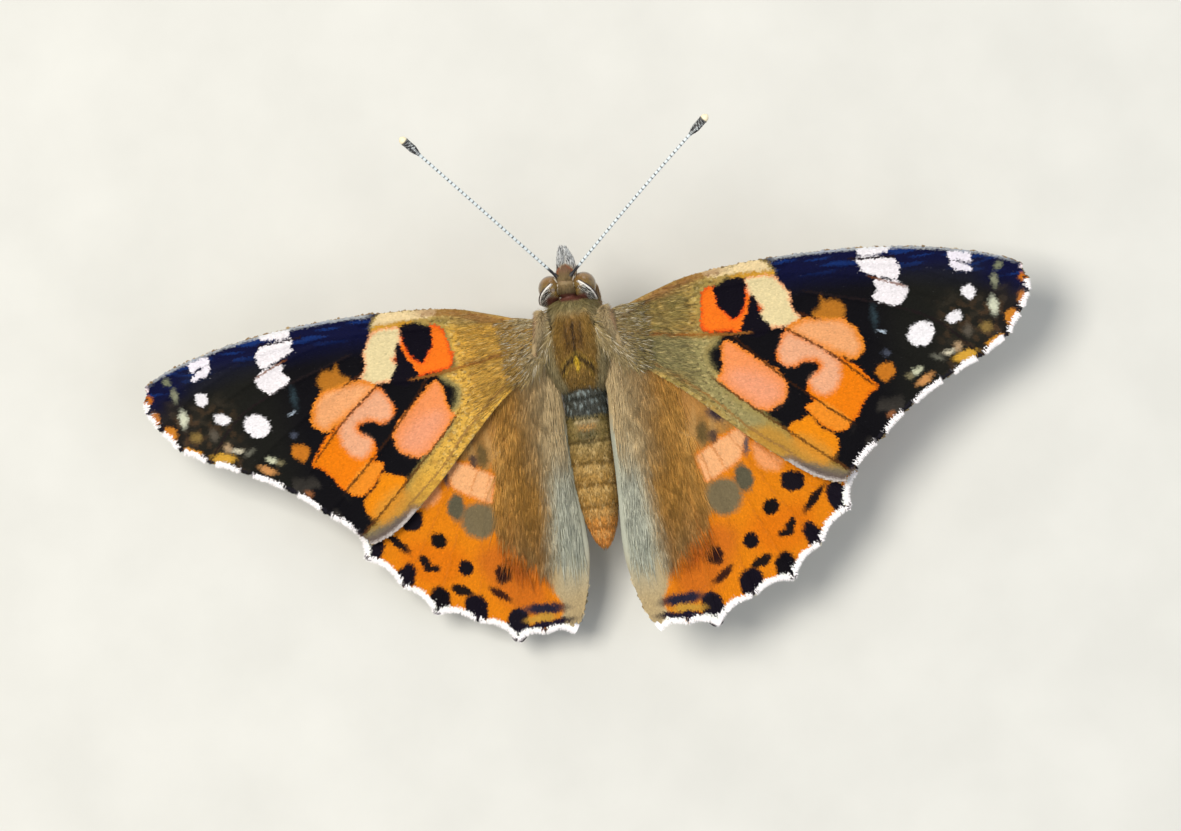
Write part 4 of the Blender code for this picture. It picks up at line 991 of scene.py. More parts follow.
def fringeRow(kind, fields, row):
    # one row of fringe scales, rooted inside the rim: white between vein ends, short and dark at them
    coat = scaleCoat["fringe"]
    rim, between = fields["rim"], fields["between"]
    steps = np.diff(rim, axis=0)
    run = np.concatenate([[0], np.cumsum(np.hypot(steps[:, 0], steps[:, 1]))])
    count = int(run[-1] / coat["spacing"])
    at = (np.arange(count) + draws.uniform(0, 1, count)) * run[-1] / count
    places = [np.interp(at, run, rim[:, axis]) for axis in (0, 1)]
    ahead, aside = [np.interp(at + 0.1, run, rim[:, axis]) - np.interp(at - 0.1, run, rim[:, axis])
                    for axis in (0, 1)]
    outward = np.arctan2(ahead, -aside)
    index = np.clip(np.searchsorted(run, at), 1, len(run) - 1)
    share = (at - run[index - 1]) / (run[index] - run[index - 1])
    ends = np.where(between[index] == 0, 1.0, between[index])
    t = between[index - 1] * (1 - share) + ends * share
    dark = coat["darkShare"][kind]
    white = ease(dark, dark + 0.05, t) * ease(1 - dark, 0.95 - dark, t)
    length = coat["length"] * draws.uniform(0.9, 1.04, count) * (1 - 0.08 * row) * (0.7 + 0.3 * white)
    colours = wash(plainColours("#1a1820", count), white, "#f4f1f2")
    if kind == "hindwing":
        colours = wash(colours, (1 - white) * 0.4, "#3a2c30")
    inset = coat["length"] * 0.97
    return (places[0] - np.cos(outward) * inset, places[1] - np.sin(outward) * inset,
            outward + draws.normal(0, 0.05, count), length, colours,
            np.full(count, coat["rowStep"] + coat["rowStep"] * row))


def makeFringe(kind, side, fields):
    coat = scaleCoat["fringe"]
    rows = [fringeRow(kind, fields, row) for row in range(coat["rows"])]
    x, y, turn, length, colours, lift = [np.concatenate(part) for part in zip(*rows)]
    width = coat["width"] * draws.uniform(0.8, 1.2, len(x))
    made = []
    for face in ("upper", "under"):
        shown = draws.uniform(0, 1, len(x)) < coat["shown"][face]
        name = "fringe_" + face + "_" + kind + "_" + side
        made.append(layScales(name, kind, side, face, fields,
                              *[values[shown] for values in (x, y, turn, length, width, lift, colours)]))
    return made


# Hairs: tapered three-sided slivers that rise from their root and bend back along the coat
hairFaces = [(0, 2, 1), (0, 1, 4), (0, 4, 3), (1, 2, 5), (1, 5, 4), (2, 0, 3), (2, 3, 5),
             (3, 4, 6), (4, 5, 6), (5, 3, 6)]


def unit(vectors):
    return vectors / np.maximum(np.linalg.norm(vectors, axis=-1, keepdims=True), 1e-9)


def growHairs(name, roots, lie, normals, length, radius, rise, place, colours, unwrap, sink=0.06):
    lie, normals = unit(lie), unit(normals)
    side = unit(np.cross(normals, lie))
    rings = []
    for t, girth in ((0.0, 1.0), (0.5, 0.72)):
        middle = (roots - normals * sink + lie * (length * t * np.cos(rise))[:, None]
                  + normals * (length * np.sin(rise) * (t - 0.5 * t * t))[:, None])
        axis = unit(lie * np.cos(rise)[:, None] + normals * (np.sin(rise) * (1 - t))[:, None])
        across = unit(np.cross(axis, side))
        for corner in range(3):
            angle = (corner + 0.25) * 2 * math.pi / 3
            rings.append(middle + (side * math.cos(angle) + across * math.sin(angle))
                         * (radius * girth)[:, None])
    tip = (roots + lie * (length * np.cos(rise))[:, None]
           + normals * (length * np.sin(rise) * 0.5)[:, None])
    points = inModel(np.stack(rings + [tip], axis=1), place)
    along = np.array([0, 0, 0, 0.5, 0.5, 0.5, 1.0])
    aside = np.array([-0.5, 0.5, 0, -0.35, 0.35, 0, 0.0])
    patches = unwrap[:, None, :] + np.stack([along, aside], axis=-1)[None] * patchSize
    return joinedTufts(name, points, hairFaces, np.clip(colours, 0, 1), patches)


wingHair = {
    # brighter, shade: how much paler hair is than the wing under it, first evenly, then hair by hair
    "forewing": {"count": 5600, "length": (0.5, 1.25), "radius": 0.028, "rise": 0.14,
                 "brighter": 1.1, "shade": 1.12},
    "hindwing": {"count": 11000, "length": (1.3, 2.7), "radius": 0.027, "rise": 0.08,
                 "brighter": 1.0, "shade": 1.3},
}
hairReach = (-0.9, 9.0)
hairRoot = 0.06


def hairCover(kind, x, y):
    # how likely a hair is at each place, and the way it points
    if kind == "forewing":
        chance = ease(5.6, 2.4, x - 0.1 * np.abs(y + 2)) * ease(-9.5, -6, y) + 0.5 * ease(1.5, 0.5, x)
        return chance, np.arctan2(y * 0.55 - 0.6, x + 3.0)
    crest = -wingForm["foldSlant"] * y
    chance = (ease(5.6, 2.6, x + 0.12 * (y + 14)) * ease(-19.0, -15.0, y - 0.3 * x)
              * (0.12 + 0.88 * ease(crest - 0.6, crest + 0.3, x)))
    return chance, np.arctan2(-1.0, 0.05 + 0.03 * x)


def hindHairColours(colours, x, y):
    # golden outside the fold, buff and blue-grey inside it, buff again at the root
    inward = x + wingForm["foldSlant"] * y
    return paintOver(colours, (
        (ease(-17.5, -12.0, y - 0.3 * x) * 0.75, "#c2903f"),
        (blotches(x * 1.6, y * 0.2, 1.5, 25) * 0.25, "#8f6a3a"),
        (ease(0.5, -0.5, inward) * 0.85, "#bcb294"),
        (ease(0.1, -1.1, inward) * ease(-6.5, -9.0, y) * 0.65, "#a5b0a8"),
        (ease(-11.5, -8.0, y) * ease(3.0, 0.5, x) * 0.8, "#b8a176"),
    ))


def makeWingHair(kind, side, fields):
    hair = wingHair[kind]
    tries = hair["count"] * 6
    x = draws.uniform(*hairReach, tries)
    y = draws.uniform(fields["loop"][:, 1].min(), fields["loop"][:, 1].max(), tries)
    inside = readField(fields, "depth", x, y) > 0.25
    chance, turn = hairCover(kind, x, y)
    kept = inside & (draws.uniform(0, 1, tries) < chance)
    x, y, turn = [values[kept][:hair["count"]] for values in (x, y, turn)]
    count = len(x)
    turn = turn + draws.normal(0, 0.10, count) + 0.12 * ripple(x, y, 1.6, 43)
    length = draws.uniform(*hair["length"], count)
    # hairs that would pass the wing's edge are cut short
    room = readField(fields, "depth", x + np.cos(turn) * length, y + np.sin(turn) * length)
    length = np.where(room < 0.3, length * 0.45, length)
    height = wingHeight(kind, fields, x, y) + wingForm["membrane"]
    roots = np.stack([x * sideSign(side), y, height + hairRoot], axis=-1)
    lie = np.stack([np.cos(turn) * sideSign(side), np.sin(turn), np.zeros(count)], axis=-1)
    colours = wingPaint[(kind, "upper")](fields, x, y)
    if kind == "hindwing":
        colours = hindHairColours(colours, x, y)
    colours = colours * hair["brighter"] * draws.normal(hair["shade"], 0.05, count)[:, None]
    return growHairs("hair_" + kind + "_" + side, roots, lie, np.tile([0.0, 0.0, 1.0], (count, 1)), length,
                     np.full(count, hair["radius"]),
                     np.full(count, hair["rise"]) * draws.uniform(0.5, 1.5, count),
                     wingPlace(kind, side), colours, wingUnwrap(fields, x, y))


# The body: one skin from the brow to the tail, laid out along the body's own axis
bodyForm = {
    "thoraxHalf": (2.85, 3.6, 2.65),
    "thoraxMiddle": -0.3,
    "headHalf": (1.15, 1.3, 1.4),
    "headMiddle": (-0.25, 4.15, -0.15),
    "abdomenFront": -2.6,
    "abdomenLength": 13.1,
    "abdomenHalf": (1.8, 1.6),
    "abdomenDrop": (0.2, 0.55),
    "abdomenTaper": 4.2,
    "waist": 0.84,
    "segments": 8,
    "ringStep": 0.035,
    "blend": 7,
    "coat": {"thorax": 0.42, "head": 0.2, "abdomen": 0.12},
    "around": 96,
    "along": 220,
}
# the skin's two ends along the body
bodyFront = 5.42
bodyBack = -15.68


def bodySection(s):
    # half width, half height and middle of the body at distance s towards the head
    form = bodyForm
    t = np.clip((s - form["thoraxMiddle"]) / form["thoraxHalf"][1], -1, 1)
    thoraxRound = np.maximum(1 - t * t, 0) ** 0.29
    thoraxRound = thoraxRound * (1 - 0.16 * np.maximum(t, 0) ** 2) * (1 - 0.12 * np.maximum(-t, 0) ** 2)
    h = np.clip((s - form["headMiddle"][1]) / form["headHalf"][1], -1, 1)
    a = np.clip((form["abdomenFront"] - s) / form["abdomenLength"], 0, 1)
    waist = form["waist"] + (1 - form["waist"]) * np.sin(math.pi / 2 * np.minimum(1, a * 2))
    start = np.minimum(1, a * 16)
    ring = (a * form["segments"]) % 1.0
    step = 1.0 + form["ringStep"] * (ring - 0.5) * ease(0.08, 0.14, a)
    tail = np.sqrt(np.maximum(1 - a ** form["abdomenTaper"], 0))
    droop = -form["abdomenDrop"][0] - form["abdomenDrop"][1] * a
    # each: share of its girth, half width, half height, depth of its coat, middle
    parts = (
        (thoraxRound, form["thoraxHalf"][0], form["thoraxHalf"][2], form["coat"]["thorax"], 0.0, 0.0),
        (np.sqrt(np.maximum(1 - h * h, 0)), form["headHalf"][0], form["headHalf"][2], form["coat"]["head"],
         form["headMiddle"][0], form["headMiddle"][2]),
        (waist * np.sqrt(start * (2 - start)) * tail * step, *form["abdomenHalf"], form["coat"]["abdomen"],
         0.0, droop),
    )
    # the three run into one another by a high power mean
    power = form["blend"]
    wide = high = weights = middleX = middleZ = 0
    for size, halfWidth, halfHeight, depth, cx, cz in parts:
        coat = depth * np.minimum(1, size * 3)
        weight = np.maximum(size * halfWidth - coat, 0) ** power
        wide = wide + weight
        high = high + np.maximum(size * halfHeight - coat, 0) ** power
        middleX = middleX + weight * cx
        middleZ = middleZ + weight * cz
        weights = weights + weight
    weights = np.maximum(weights, 1e-9)
    return wide ** (1 / power), high ** (1 / power), middleX / weights, middleZ / weights


def bodyPoint(s, turn):
    wide, high, cx, cz = bodySection(s)
    return np.stack([cx + wide * np.cos(turn), s, cz + high * np.sin(turn)], axis=-1)


def bodyNormal(s, turn):
    along = bodyPoint(s + 0.05, turn) - bodyPoint(s - 0.05, turn)
    around = bodyPoint(s, turn + 0.02) - bodyPoint(s, turn - 0.02)
    return unit(np.cross(along, around))


def bodyColours(s, turn):
    across, up = np.cos(turn), np.sin(turn)
    arc = turn * 2.0
    top = up > 0
    # thorax: golden brown down the middle, olive buff on the flanks, painted shade along a groove at each
    # side
    aside = np.abs(across * 2.45)
    grooveShade = np.abs(aside - 0.55 - 0.12 * (s - 0.6))
    # the small shield behind it: a dark V, yellow at its point
    shield = np.abs(s + 1.0 + 0.8 * aside)
    tuft = spotDepth(across * 2.45, s, (0.0, -1.6), (0.34, 1.0))
    thorax = paintOver(plainColours("#a2936a", len(s)), (
        (blotches(s, arc, 1.1, 51) * 0.4, "#b0a47c"),
        (ease(1.75, 1.3, aside) * top * ease(2.7, 1.5, s) * 0.95, "#8c6a2a"),
        (ease(1.1, 0.4, aside) * top * ease(2.3, 1.0, s) * ease(-1.6, 0.0, s) * 0.7, "#664516"),
        (blotches(s, arc, 0.8, 52, 0.3, 0.9) * ease(1.9, 1.5, aside) * 0.35, "#5f4a22"),
        (ease(0.17, 0.05, aside) * top * ease(1.7, 1.2, s) * ease(-1.1, -0.9, s) * 0.9, "#2c1c0a"),
        # painted shade: a dark line along each side's groove
        (ease(0.14, 0.04, grooveShade) * ease(1.9, 1.2, s) * ease(-0.6, 0.2, s) * top * 0.6, "#2f1f0c"),
        (ease(2.0, 2.6, s) * top * 0.8, "#756a40"),
        (ease(0.32, 0.18, np.abs(shield - 0.25)) * top * ease(1.5, 1.2, aside) * 0.35, "#b09034"),
        (ease(0.24, 0.08, shield) * top * ease(1.5, 1.3, aside) * 0.9, "#2a1b09"),
        (ease(-0.06, 0.06, tuft) * top * 0.9, "#d2ae28"),
    ))
    # abdomen: blue-grey first segment, olive, golden brown, orange tail, each ring edged dark and given a
    # painted highlight across its middle
    a = (bodyForm["abdomenFront"] - s) / bodyForm["abdomenLength"]
    onAbdomen = ease(0.05, 0.09, a)[:, None]
    ring = (a * bodyForm["segments"] + 0.05 * ripple(arc, s, 1.2, 54)) % 1.0
    ringed = ease(0.26, 0.32, a)
    abdomen = paintOver(plainColours("#726230", len(s)), (
        (ease(0.3, 0.65, a), "#a47c36"),
        (ease(0.7, 0.95, a), "#d98c34"),
        (ease(0.46, 0.3, a) * ease(1.5, 0.5, aside) * 0.75, "#46442a"),
        (ease(0.242, 0.222, a) * 0.95, "#2e312b"),
        (ease(0.23, 0.21, a) * blotches(s, arc, 0.6, 55, 0.3, 0.8) * 0.5, "#8d9a98"),
        (ease(0.022, 0.01, np.abs(a - 0.262)) * ease(1.7, 1.2, aside) * 0.8, "#b09c70"),
        (ease(0.02, 0.008, np.abs(a - 0.295)) * ease(1.3, 0.7, aside) * 0.65, "#b07a34"),
        ((ease(0.86, 0.97, ring) + ease(0.1, 0.0, ring)) * ringed * 0.45, "#54401e"),
        # painted highlight: a pale band across the middle of each ring
        (ease(0.12, 0.3, ring) * ease(0.6, 0.4, ring) * ringed * 0.3, "#cfae6c"),
        (blotches(s * 1.5, arc, 0.55, 53) * ringed * 0.5, "#6c5426"),
        (blotches(s * 1.2, arc, 0.7, 56, 0.3, 0.9) * ease(0.3, 0.45, a) * 0.4, "#d9ba7c"),
    ))
    # collar and head, and the whole body pale below
    nape = np.abs(np.abs(across) - 0.72)
    return paintOver(thorax * (1 - onAbdomen) + abdomen * onAbdomen, (
        (ease(3.4, 3.6, s), "#6b5a3c"),
        (ease(2.85, 3.0, s) * ease(3.72, 3.5, s + 0.15 * np.abs(across)) * top, "#5a2f22"),
        (ease(3.5, 4.3, s) * ease(0.8, 0.4, np.abs(across)) * top * 0.8, "#86714c"),
        (ease(4.3, 4.8, s) * top * 0.8, "#9a7358"),
        (ease(0.2, 0.1, nape) * ease(4.4, 4.6, s) * top * 0.8, "#a8582e"),
        (ease(0.16, 0.08, nape) * ease(0.22, 0.12, np.abs(s - 4.05)) * top * 0.9, "#e8e2d4"),
        (ease(-0.15, -0.6, up) * 0.85, "#c9bda0"),
    ))


def makeBodySkin():
    form = bodyForm
    skin = startSphere("bodySkin", form["around"], form["along"])
    points = readPoints(skin)
    turn = np.arctan2(points[:, 1], points[:, 0])
    lean = np.arccos(np.clip(points[:, 2], -1, 1)) / math.pi
    s = bodyFront + (bodyBack - bodyFront) * lean
    writePoints(skin, bodyPoint(s, turn))
    mergeAndTurnOut(skin, 0.0005)
    points = readPoints(skin)
    wide, high, cx, cz = bodySection(points[:, 1])
    turn = np.arctan2((points[:, 2] - cz) / np.maximum(high, 1e-3),
                      (points[:, 0] - cx) / np.maximum(wide, 1e-3))
    paintPoints(skin, bodyColours(points[:, 1], turn))
    smoothAndPlace(skin, bodyPlace)
    return skin


bodyHair = {
    # name: span along the body, count, length, radius, rise, spread outwards
    "thorax": {"span": (-3.7, 3.15), "count": 11500, "length": (0.8, 1.5), "radius": 0.034,
               "rise": 0.42, "splay": 0.35},
    "abdomen": {"span": (-15.5, -3.3), "count": 12500, "length": (0.32, 0.62), "radius": 0.037,
                "rise": 0.2, "splay": 0.0},
    "head": {"span": (2.95, 5.35), "count": 4200, "length": (0.35, 0.75), "radius": 0.024,
             "rise": 0.55, "splay": 0.2},
}


def makeBodyHair(region):
    hair = bodyHair[region]
    tries = hair["count"] * 3
    s = draws.uniform(*hair["span"], tries)
    turn = draws.uniform(0, 2 * math.pi, tries)
    wide, high, _, _ = bodySection(s)
    kept = draws.uniform(0, 1, tries) < (wide + high) / 2 / (wide + high).max() * 2
    if region == "head":
        # room for the eyes at the sides
        kept &= (np.abs(np.cos(turn)) < 0.8) | (s < 3.1)
    s, turn = s[kept][:hair["count"]], turn[kept][:hair["count"]]
    count = len(s)
    roots = bodyPoint(s, turn)
    normals = bodyNormal(s, turn)
    back = bodyPoint(s - 0.05, turn) - bodyPoint(s + 0.05, turn)
    if region == "head":
        back = np.where((s > 4.3)[:, None], -back, back)
    lie = unit(back) + np.stack([np.cos(turn) * hair["splay"], np.zeros(count), np.zeros(count)], axis=-1)
    lie = lie + draws.normal(0, 0.14, (count, 3))
    lie = lie - normals * np.sum(lie * normals, axis=-1, keepdims=True)
    length = draws.uniform(*hair["length"], count)
    if region == "thorax":
        length = length * (0.55 + 0.55 * ease(0.3, 0.9, np.abs(np.cos(turn))))
    if region == "head":
        length = length * (0.35 + 0.65 * ease(3.6, 4.1, s))
    colours = bodyColours(s - 0.25 * length, turn) * draws.normal(1.22, 0.14, count)[:, None]
    unwrap = np.stack([(bodyFront - s) / (bodyFront - bodyBack), (turn / (2 * math.pi)) % 1.0], axis=-1)
    rise = hair["rise"] * draws.uniform(0.5, 1.5, count)
    return growHairs("hair_" + region, roots, lie, normals, length, np.full(count, hair["radius"]), rise,
                     bodyPlace, colours, unwrap)


# Tubes: a lattice rolled round a path, closed at both ends

def rollTube(name, path, radii, around, place, paint=None):
    # path in millimetres, one radius a station; paint(along, turn) gives each point's colour
    path = np.array([path[0]] + [tuple(p) for p in path] + [path[-1]], float)
    radii = np.concatenate([[0.0], radii, [0.0]])
    tangents = unit(np.gradient(path[1:-1], axis=0))
    tangents = np.vstack([tangents[:1], tangents, tangents[-1:]])
    uppers = []
    upper = np.array([0.0, 0.0, 1.0])
    if abs(tangents[0] @ upper) > 0.9:
        upper = np.array([0.0, 1.0, 0.0])
    for tangent in tangents:
        upper = unit(upper - tangent * (upper @ tangent))
        uppers.append(upper)
    uppers = np.array(uppers)
    sides = np.cross(tangents, uppers)
    rings = len(path)
    bpy.ops.mesh.primitive_grid_add(x_subdivisions=around, y_subdivisions=rings - 1, size=2.0)
    tube = startPiece(name)
    points = readPoints(tube)
    turn = (points[:, 0] + 1) * math.pi
    ring = np.rint((points[:, 1] + 1) / 2 * (rings - 1)).astype(int)
    points = path[ring] + radii[ring][:, None] * (sides[ring] * np.cos(turn)[:, None]
                                                  + uppers[ring] * np.sin(turn)[:, None])
    writePoints(tube, points)
    if paint:
        paintPoints(tube, paint(ring / (rings - 1), turn))
    mergeAndTurnOut(tube, 0.002)
    smoothAndPlace(tube, place)
    return tube


def walkPath(points, count):
    # evenly spaced stations on a smooth line through a few joints
    line = splineThrough(points, steps=24)
    run = np.concatenate([[0], np.cumsum(np.linalg.norm(np.diff(line, axis=0), axis=1))])
    at = np.linspace(0, run[-1], count)
    return np.stack([np.interp(at, run, line[:, axis]) for axis in range(3)], axis=-1)


def alongPath(path, count, spread=(0.0, 1.0)):
    # random stations on a path: places and directions
    at = draws.uniform(*spread, count) * (len(path) - 1)
    index = np.minimum(at.astype(int), len(path) - 2)
    share = (at - index)[:, None]
    places = path[index] * (1 - share) + path[index + 1] * share
    return places, unit(path[index + 1] - path[index]), at / (len(path) - 1)


def bristle(name, path, radii, count, length, radius, rise, place, colour, spread=(0.0, 1.0), sink=0.02):
    # hairs standing round a tube, leaning to its tip
    places, along, at = alongPath(path, count, spread)
    around = draws.normal(0, 1, (count, 3))
    normals = unit(around - along * np.sum(around * along, axis=-1, keepdims=True))
    girth = np.interp(at, np.linspace(0, 1, len(radii)), radii)
    unwrap = np.stack([at, draws.uniform(0, 1, count)], axis=-1)
    colours = colour(at, normals)
    return growHairs(name, places + normals * girth[:, None], along, normals,
                     draws.uniform(*length, count), np.full(count, radius),
                     draws.uniform(0.6, 1.4, count) * rise, place, colours, unwrap, sink)


# Eyes, with a white scaled rim behind each
eyeForm = {"half": (0.91, 0.98, 1.22), "centre": (1.25, 3.95, -0.1), "segments": 64, "rings": 48}
rimForm = {
    "path": [(1.02, 4.36, 1.06), (1.45, 4.02, 1.08), (1.76, 3.7, 0.93), (1.97, 3.36, 0.66),
             (2.06, 3.05, 0.28), (2.06, 2.8, -0.2), (1.85, 2.72, -0.8)],
    "radius": 0.075,
    "stations": 40,
    "hairs": 520,
    "hairRadius": 0.022,
    "darkLineOut": (0.11, 0.05, -0.05),
}
# black and white hair over the eye's inner hind part, up to the rim
coverForm = {"tries": 16000, "count": 1600, "lift": 1.03, "radius": 0.022, "rise": 0.25, "sink": 0.08}
headPlace = bodyPlace @ Matrix.Translation((stance["headShift"], 0, 0))


def makeEye(side):
    form = eyeForm
    eye = startSphere("eyeball_" + side, form["segments"], form["rings"])
    centre = np.array(form["centre"]) * mirrorOf(side)
    half = np.array(form["half"])
    # poles along the line through both eyes, so the facets run evenly over what shows
    writePoints(eye, readPoints(eye)[:, [2, 1, 0]] * half + centre)
    mergeAndTurnOut(eye, 0.0005)
    _, y, z = ((readPoints(eye) - centre) / half).T
    paintPoints(eye, paintOver(plainColours("#7c6434", len(y)), (
        (blotches(y * 2, z * 2, 1.3, 61, 0.1, 0.8) * 0.7, "#4e381c"),
        (blotches(y * 2, z * 2, 0.8, 62) * 0.5, "#a0803e"),
        (ease(0.1, 0.8, y) * 0.5, "#9a6a34"),
        # painted shade: the eye's lower side darker
        (ease(-0.2, -0.8, z) * 0.6, "#4a3418"),
    )))
    smoothAndPlace(eye, headPlace)
    return eye


def makeEyeRim(side):
    form = rimForm
    stations, count = form["stations"], form["hairs"]
    mirror = mirrorOf(side)
    path = walkPath([np.array(p) * mirror for p in form["path"]], stations)
    radii = np.full(stations, form["radius"]) * np.sin(np.linspace(0.35, math.pi - 0.35, stations)) ** 0.4
    tube = rollTube("eyeRim_" + side, path, radii, 10, headPlace)
    # a thin black line of scales runs outside the white one
    outer = path + np.array(form["darkLineOut"]) * mirror
    dark = rollTube("eyeRimDark_" + side, outer, radii * 0.7, 8, headPlace)
    cover = makeEyeCover(side, path)
    places, along, at = alongPath(path, count)
    inward = unit(np.array([-1.0, -0.55, 0.35]) * mirror)
    fan = unit(np.tile(inward, (count, 1)) + along * draws.normal(0, 0.35, (count, 1)))
    normals = unit(np.cross(along, fan) * sideSign(side) * -1 + np.array([0, 0, 0.6]))
    colours = plainColours("#f4f1ec", count) * draws.uniform(0.75, 1.0, count)[:, None]
    unwrap = np.stack([at, draws.uniform(0, 1, count)], axis=-1)
    colours = wash(colours, draws.uniform(0, 1, count) < 0.3, "#1c1816")
    fringe = growHairs("eyeRimHair_" + side, places, fan, normals, draws.uniform(0.1, 0.24, count),
                       np.full(count, form["hairRadius"]), np.full(count, 0.5), headPlace, colours, unwrap)
    return tube, dark, fringe, cover


def makeEyeCover(side, rim):
    form = coverForm
    directions = unit(draws.normal(0, 1, (form["tries"], 3)))
    places = np.array(eyeForm["centre"]) + directions * np.array(eyeForm["half"]) * form["lift"]
    toRim = np.interp(-places[:, 1], -rim[:, 1], np.abs(rim[:, 0])) - places[:, 0]
    covered = (directions[:, 2] > 0.05) & (places[:, 1] < 4.4) & (places[:, 1] > 2.9) & (toRim > 0.03)
    places, directions, toRim = [values[covered][:form["count"]] for values in (places, directions, toRim)]
    count = len(places)
    lie = np.tile([0.8, -0.55, 0.0], (count, 1)) + draws.normal(0, 0.15, (count, 3))
    # the collar's dark red runs on behind each eye
    behind = ease(3.65, 3.35, places[:, 1]) * ease(1.45, 1.15, places[:, 0])
    colours = paintOver(plainColours("#8a7a56", count), (
        (ease(1.15, 0.6, toRim) * 0.95, "#241c16"),
        ((draws.uniform(0, 1, count) < 0.4) * ease(1.05, 0.6, toRim), "#d8d6cc"),
        (behind, "#744232"),
    ))
    mirror = mirrorOf(side)
    unwrap = draws.uniform(0, 1, (count, 2))
    return growHairs("eyeCover_" + side, places * mirror, lie * mirror, directions * mirror,
                     np.minimum(draws.uniform(0.3, 0.5, count), toRim + 0.12),
                     np.full(count, form["radius"]), np.full(count, form["rise"]), headPlace, colours,
                     unwrap, form["sink"])


# Shoulder pads over the wing roots, and the long hair that sweeps out from under them
shoulderForm = {
    "half": (0.46, 2.1, 0.42),
    "underHair": 0.86,
    "centre": {"left": (2.7, 0.8, 1.62), "right": (2.95, 0.65, 1.62)},
    "swing": 17.0,
    "padHairs": 2600,
    "padHairRadius": 0.024,
    "rootHairs": 4200,
    "rootHairRadius": 0.028,
    "rootHeight": 0.22,
}


def layOnPad(points, side):
    # from a unit sphere to the pad, narrower and lower towards its hind end
    form = shoulderForm
    swing = math.radians(form["swing"])
    turnPad = np.array([[math.cos(swing), -math.sin(swing), 0],
                        [math.sin(swing), math.cos(swing), 0], [0, 0, 1]])
    shaped = points * np.array(form["half"]) * form["underHair"]
    shaped[:, 0] *= 0.85 + 0.15 * points[:, 1]
    shaped[:, 2] *= 0.9 + 0.1 * points[:, 1]
    return (shaped @ turnPad.T + np.array(form["centre"][side])) * mirrorOf(side)


def makePad(side):
    pad = startSphere("shoulderPad_" + side, 32, 24)
    sphere = readPoints(pad)
    writePoints(pad, layOnPad(sphere, side))
    paintPoints(pad, plainColours("#a08a62", len(sphere)))
    mergeAndTurnOut(pad, 0.0005)
    smoothAndPlace(pad, bodyPlace)
    return pad


def makePadHair(side):
    count = shoulderForm["padHairs"]
    outward = unit(draws.normal(0, 1, (count, 3)))
    outward[:, 2] = np.abs(outward[:, 2])
    lie = np.tile([0.22, -1.0, -0.05], (count, 1)) * mirrorOf(side) + draws.normal(0, 0.2, (count, 3))
    facing = unit(outward * mirrorOf(side))
    lie = lie - facing * np.sum(lie * facing, axis=-1, keepdims=True)
    colours = paintOver(plainColours("#b09b72", count), (
        (draws.uniform(0, 0.7, count), "#c9b892"),
        (ease(0.1, 0.7, outward[:, 0]) * 0.6, "#b98a66"),
        (draws.uniform(0, 1, count) < 0.08, "#6a5636"),
    ))
    colours = colours * draws.normal(1.1, 0.14, count)[:, None]
    return growHairs("shoulderHair_" + side, layOnPad(outward, side), lie, facing,
                     draws.uniform(0.35, 0.7, count), np.full(count, shoulderForm["padHairRadius"]),
                     draws.uniform(0.05, 0.3, count), bodyPlace, colours, outward[:, :2] * 0.5 + 0.5)


def makeRootHair(side):
    # in the forewing's own plane; the hair by the trailing edge hangs back over the hindwing's root
    x = draws.uniform(-1.4, 2.2, shoulderForm["rootHairs"])
    y = draws.uniform(-3.6, 1.2, shoulderForm["rootHairs"])
    kept = (y < 1.0 + 0.25 * x) & (y > -1.3 - 1.05 * (x + 1.3) + 0.3)
    x, y = x[kept], y[kept]
    count = len(x)
    hang = ease(1.6, 0.2, y + 1.3 + 1.05 * (x + 1.3)) * ease(1.6, 0.2, x)
    turn = np.arctan2(y * 0.55 - 0.5, x + 3.0) * (1 - hang) - 1.35 * hang + draws.normal(0, 0.2, count)
    roots = np.stack([x * sideSign(side), y, np.full(count, shoulderForm["rootHeight"])], axis=-1)
    lie = np.stack([np.cos(turn) * sideSign(side), np.sin(turn), np.zeros(count)], axis=-1)
    colours = paintOver(plainColours("#9a875a", count), (
        (draws.uniform(0, 0.7, count), "#b8a478"),
        # the left side's root hair is painted golden, a painted sheen as on its forewing's base; the
        # right's is olive
        (ease(0.2, 1.6, x) * 0.75, "#a8843c" if side == "left" else "#84743f"),
    ))
    pick = draws.uniform(0, 1, count)
    colours = wash(colours, (pick < 0.2) * 0.9 * (1 - hang), "#3a3226")
    colours = wash(colours, (pick > 0.86) * 0.9, "#cfc6ae")
    return growHairs("rootHair_" + side, roots, lie, np.tile([0.0, 0.0, 1.0], (count, 1)),
                     draws.uniform(0.4, 1.0, count) * (1 + 1.1 * hang),
                     np.full(count, shoulderForm["rootHairRadius"]),
                     draws.uniform(0.08, 0.4, count) * (1 - 0.6 * hang),
                     wingPlace("forewing", side), colours * 1.1,
                     np.stack([x * 0.3 + 0.5, y * 0.3 + 0.5], axis=-1))


def mirroredPath(side, form):
    # stations and girths along a limb given by five points and five radii
    count = form["stations"]
    path = walkPath([np.array(p) * mirrorOf(side) for p in form["path"]], count)
    return path, np.interp(np.linspace(0, 1, count), np.linspace(0, 1, len(form["radii"])), form["radii"])


# Palps: two bristly feelers in front of the face that close to a cone
palpForm = {
    "path": [(0.42, 4.2, -0.9), (0.44, 5.0, -1.05), (0.36, 5.8, -0.85), (0.24, 6.4, -0.5),
             (0.13, 6.85, -0.1)],
    "radii": (0.22, 0.28, 0.26, 0.18, 0.05),
    "stations": 36,
    "hairs": 1900,
}


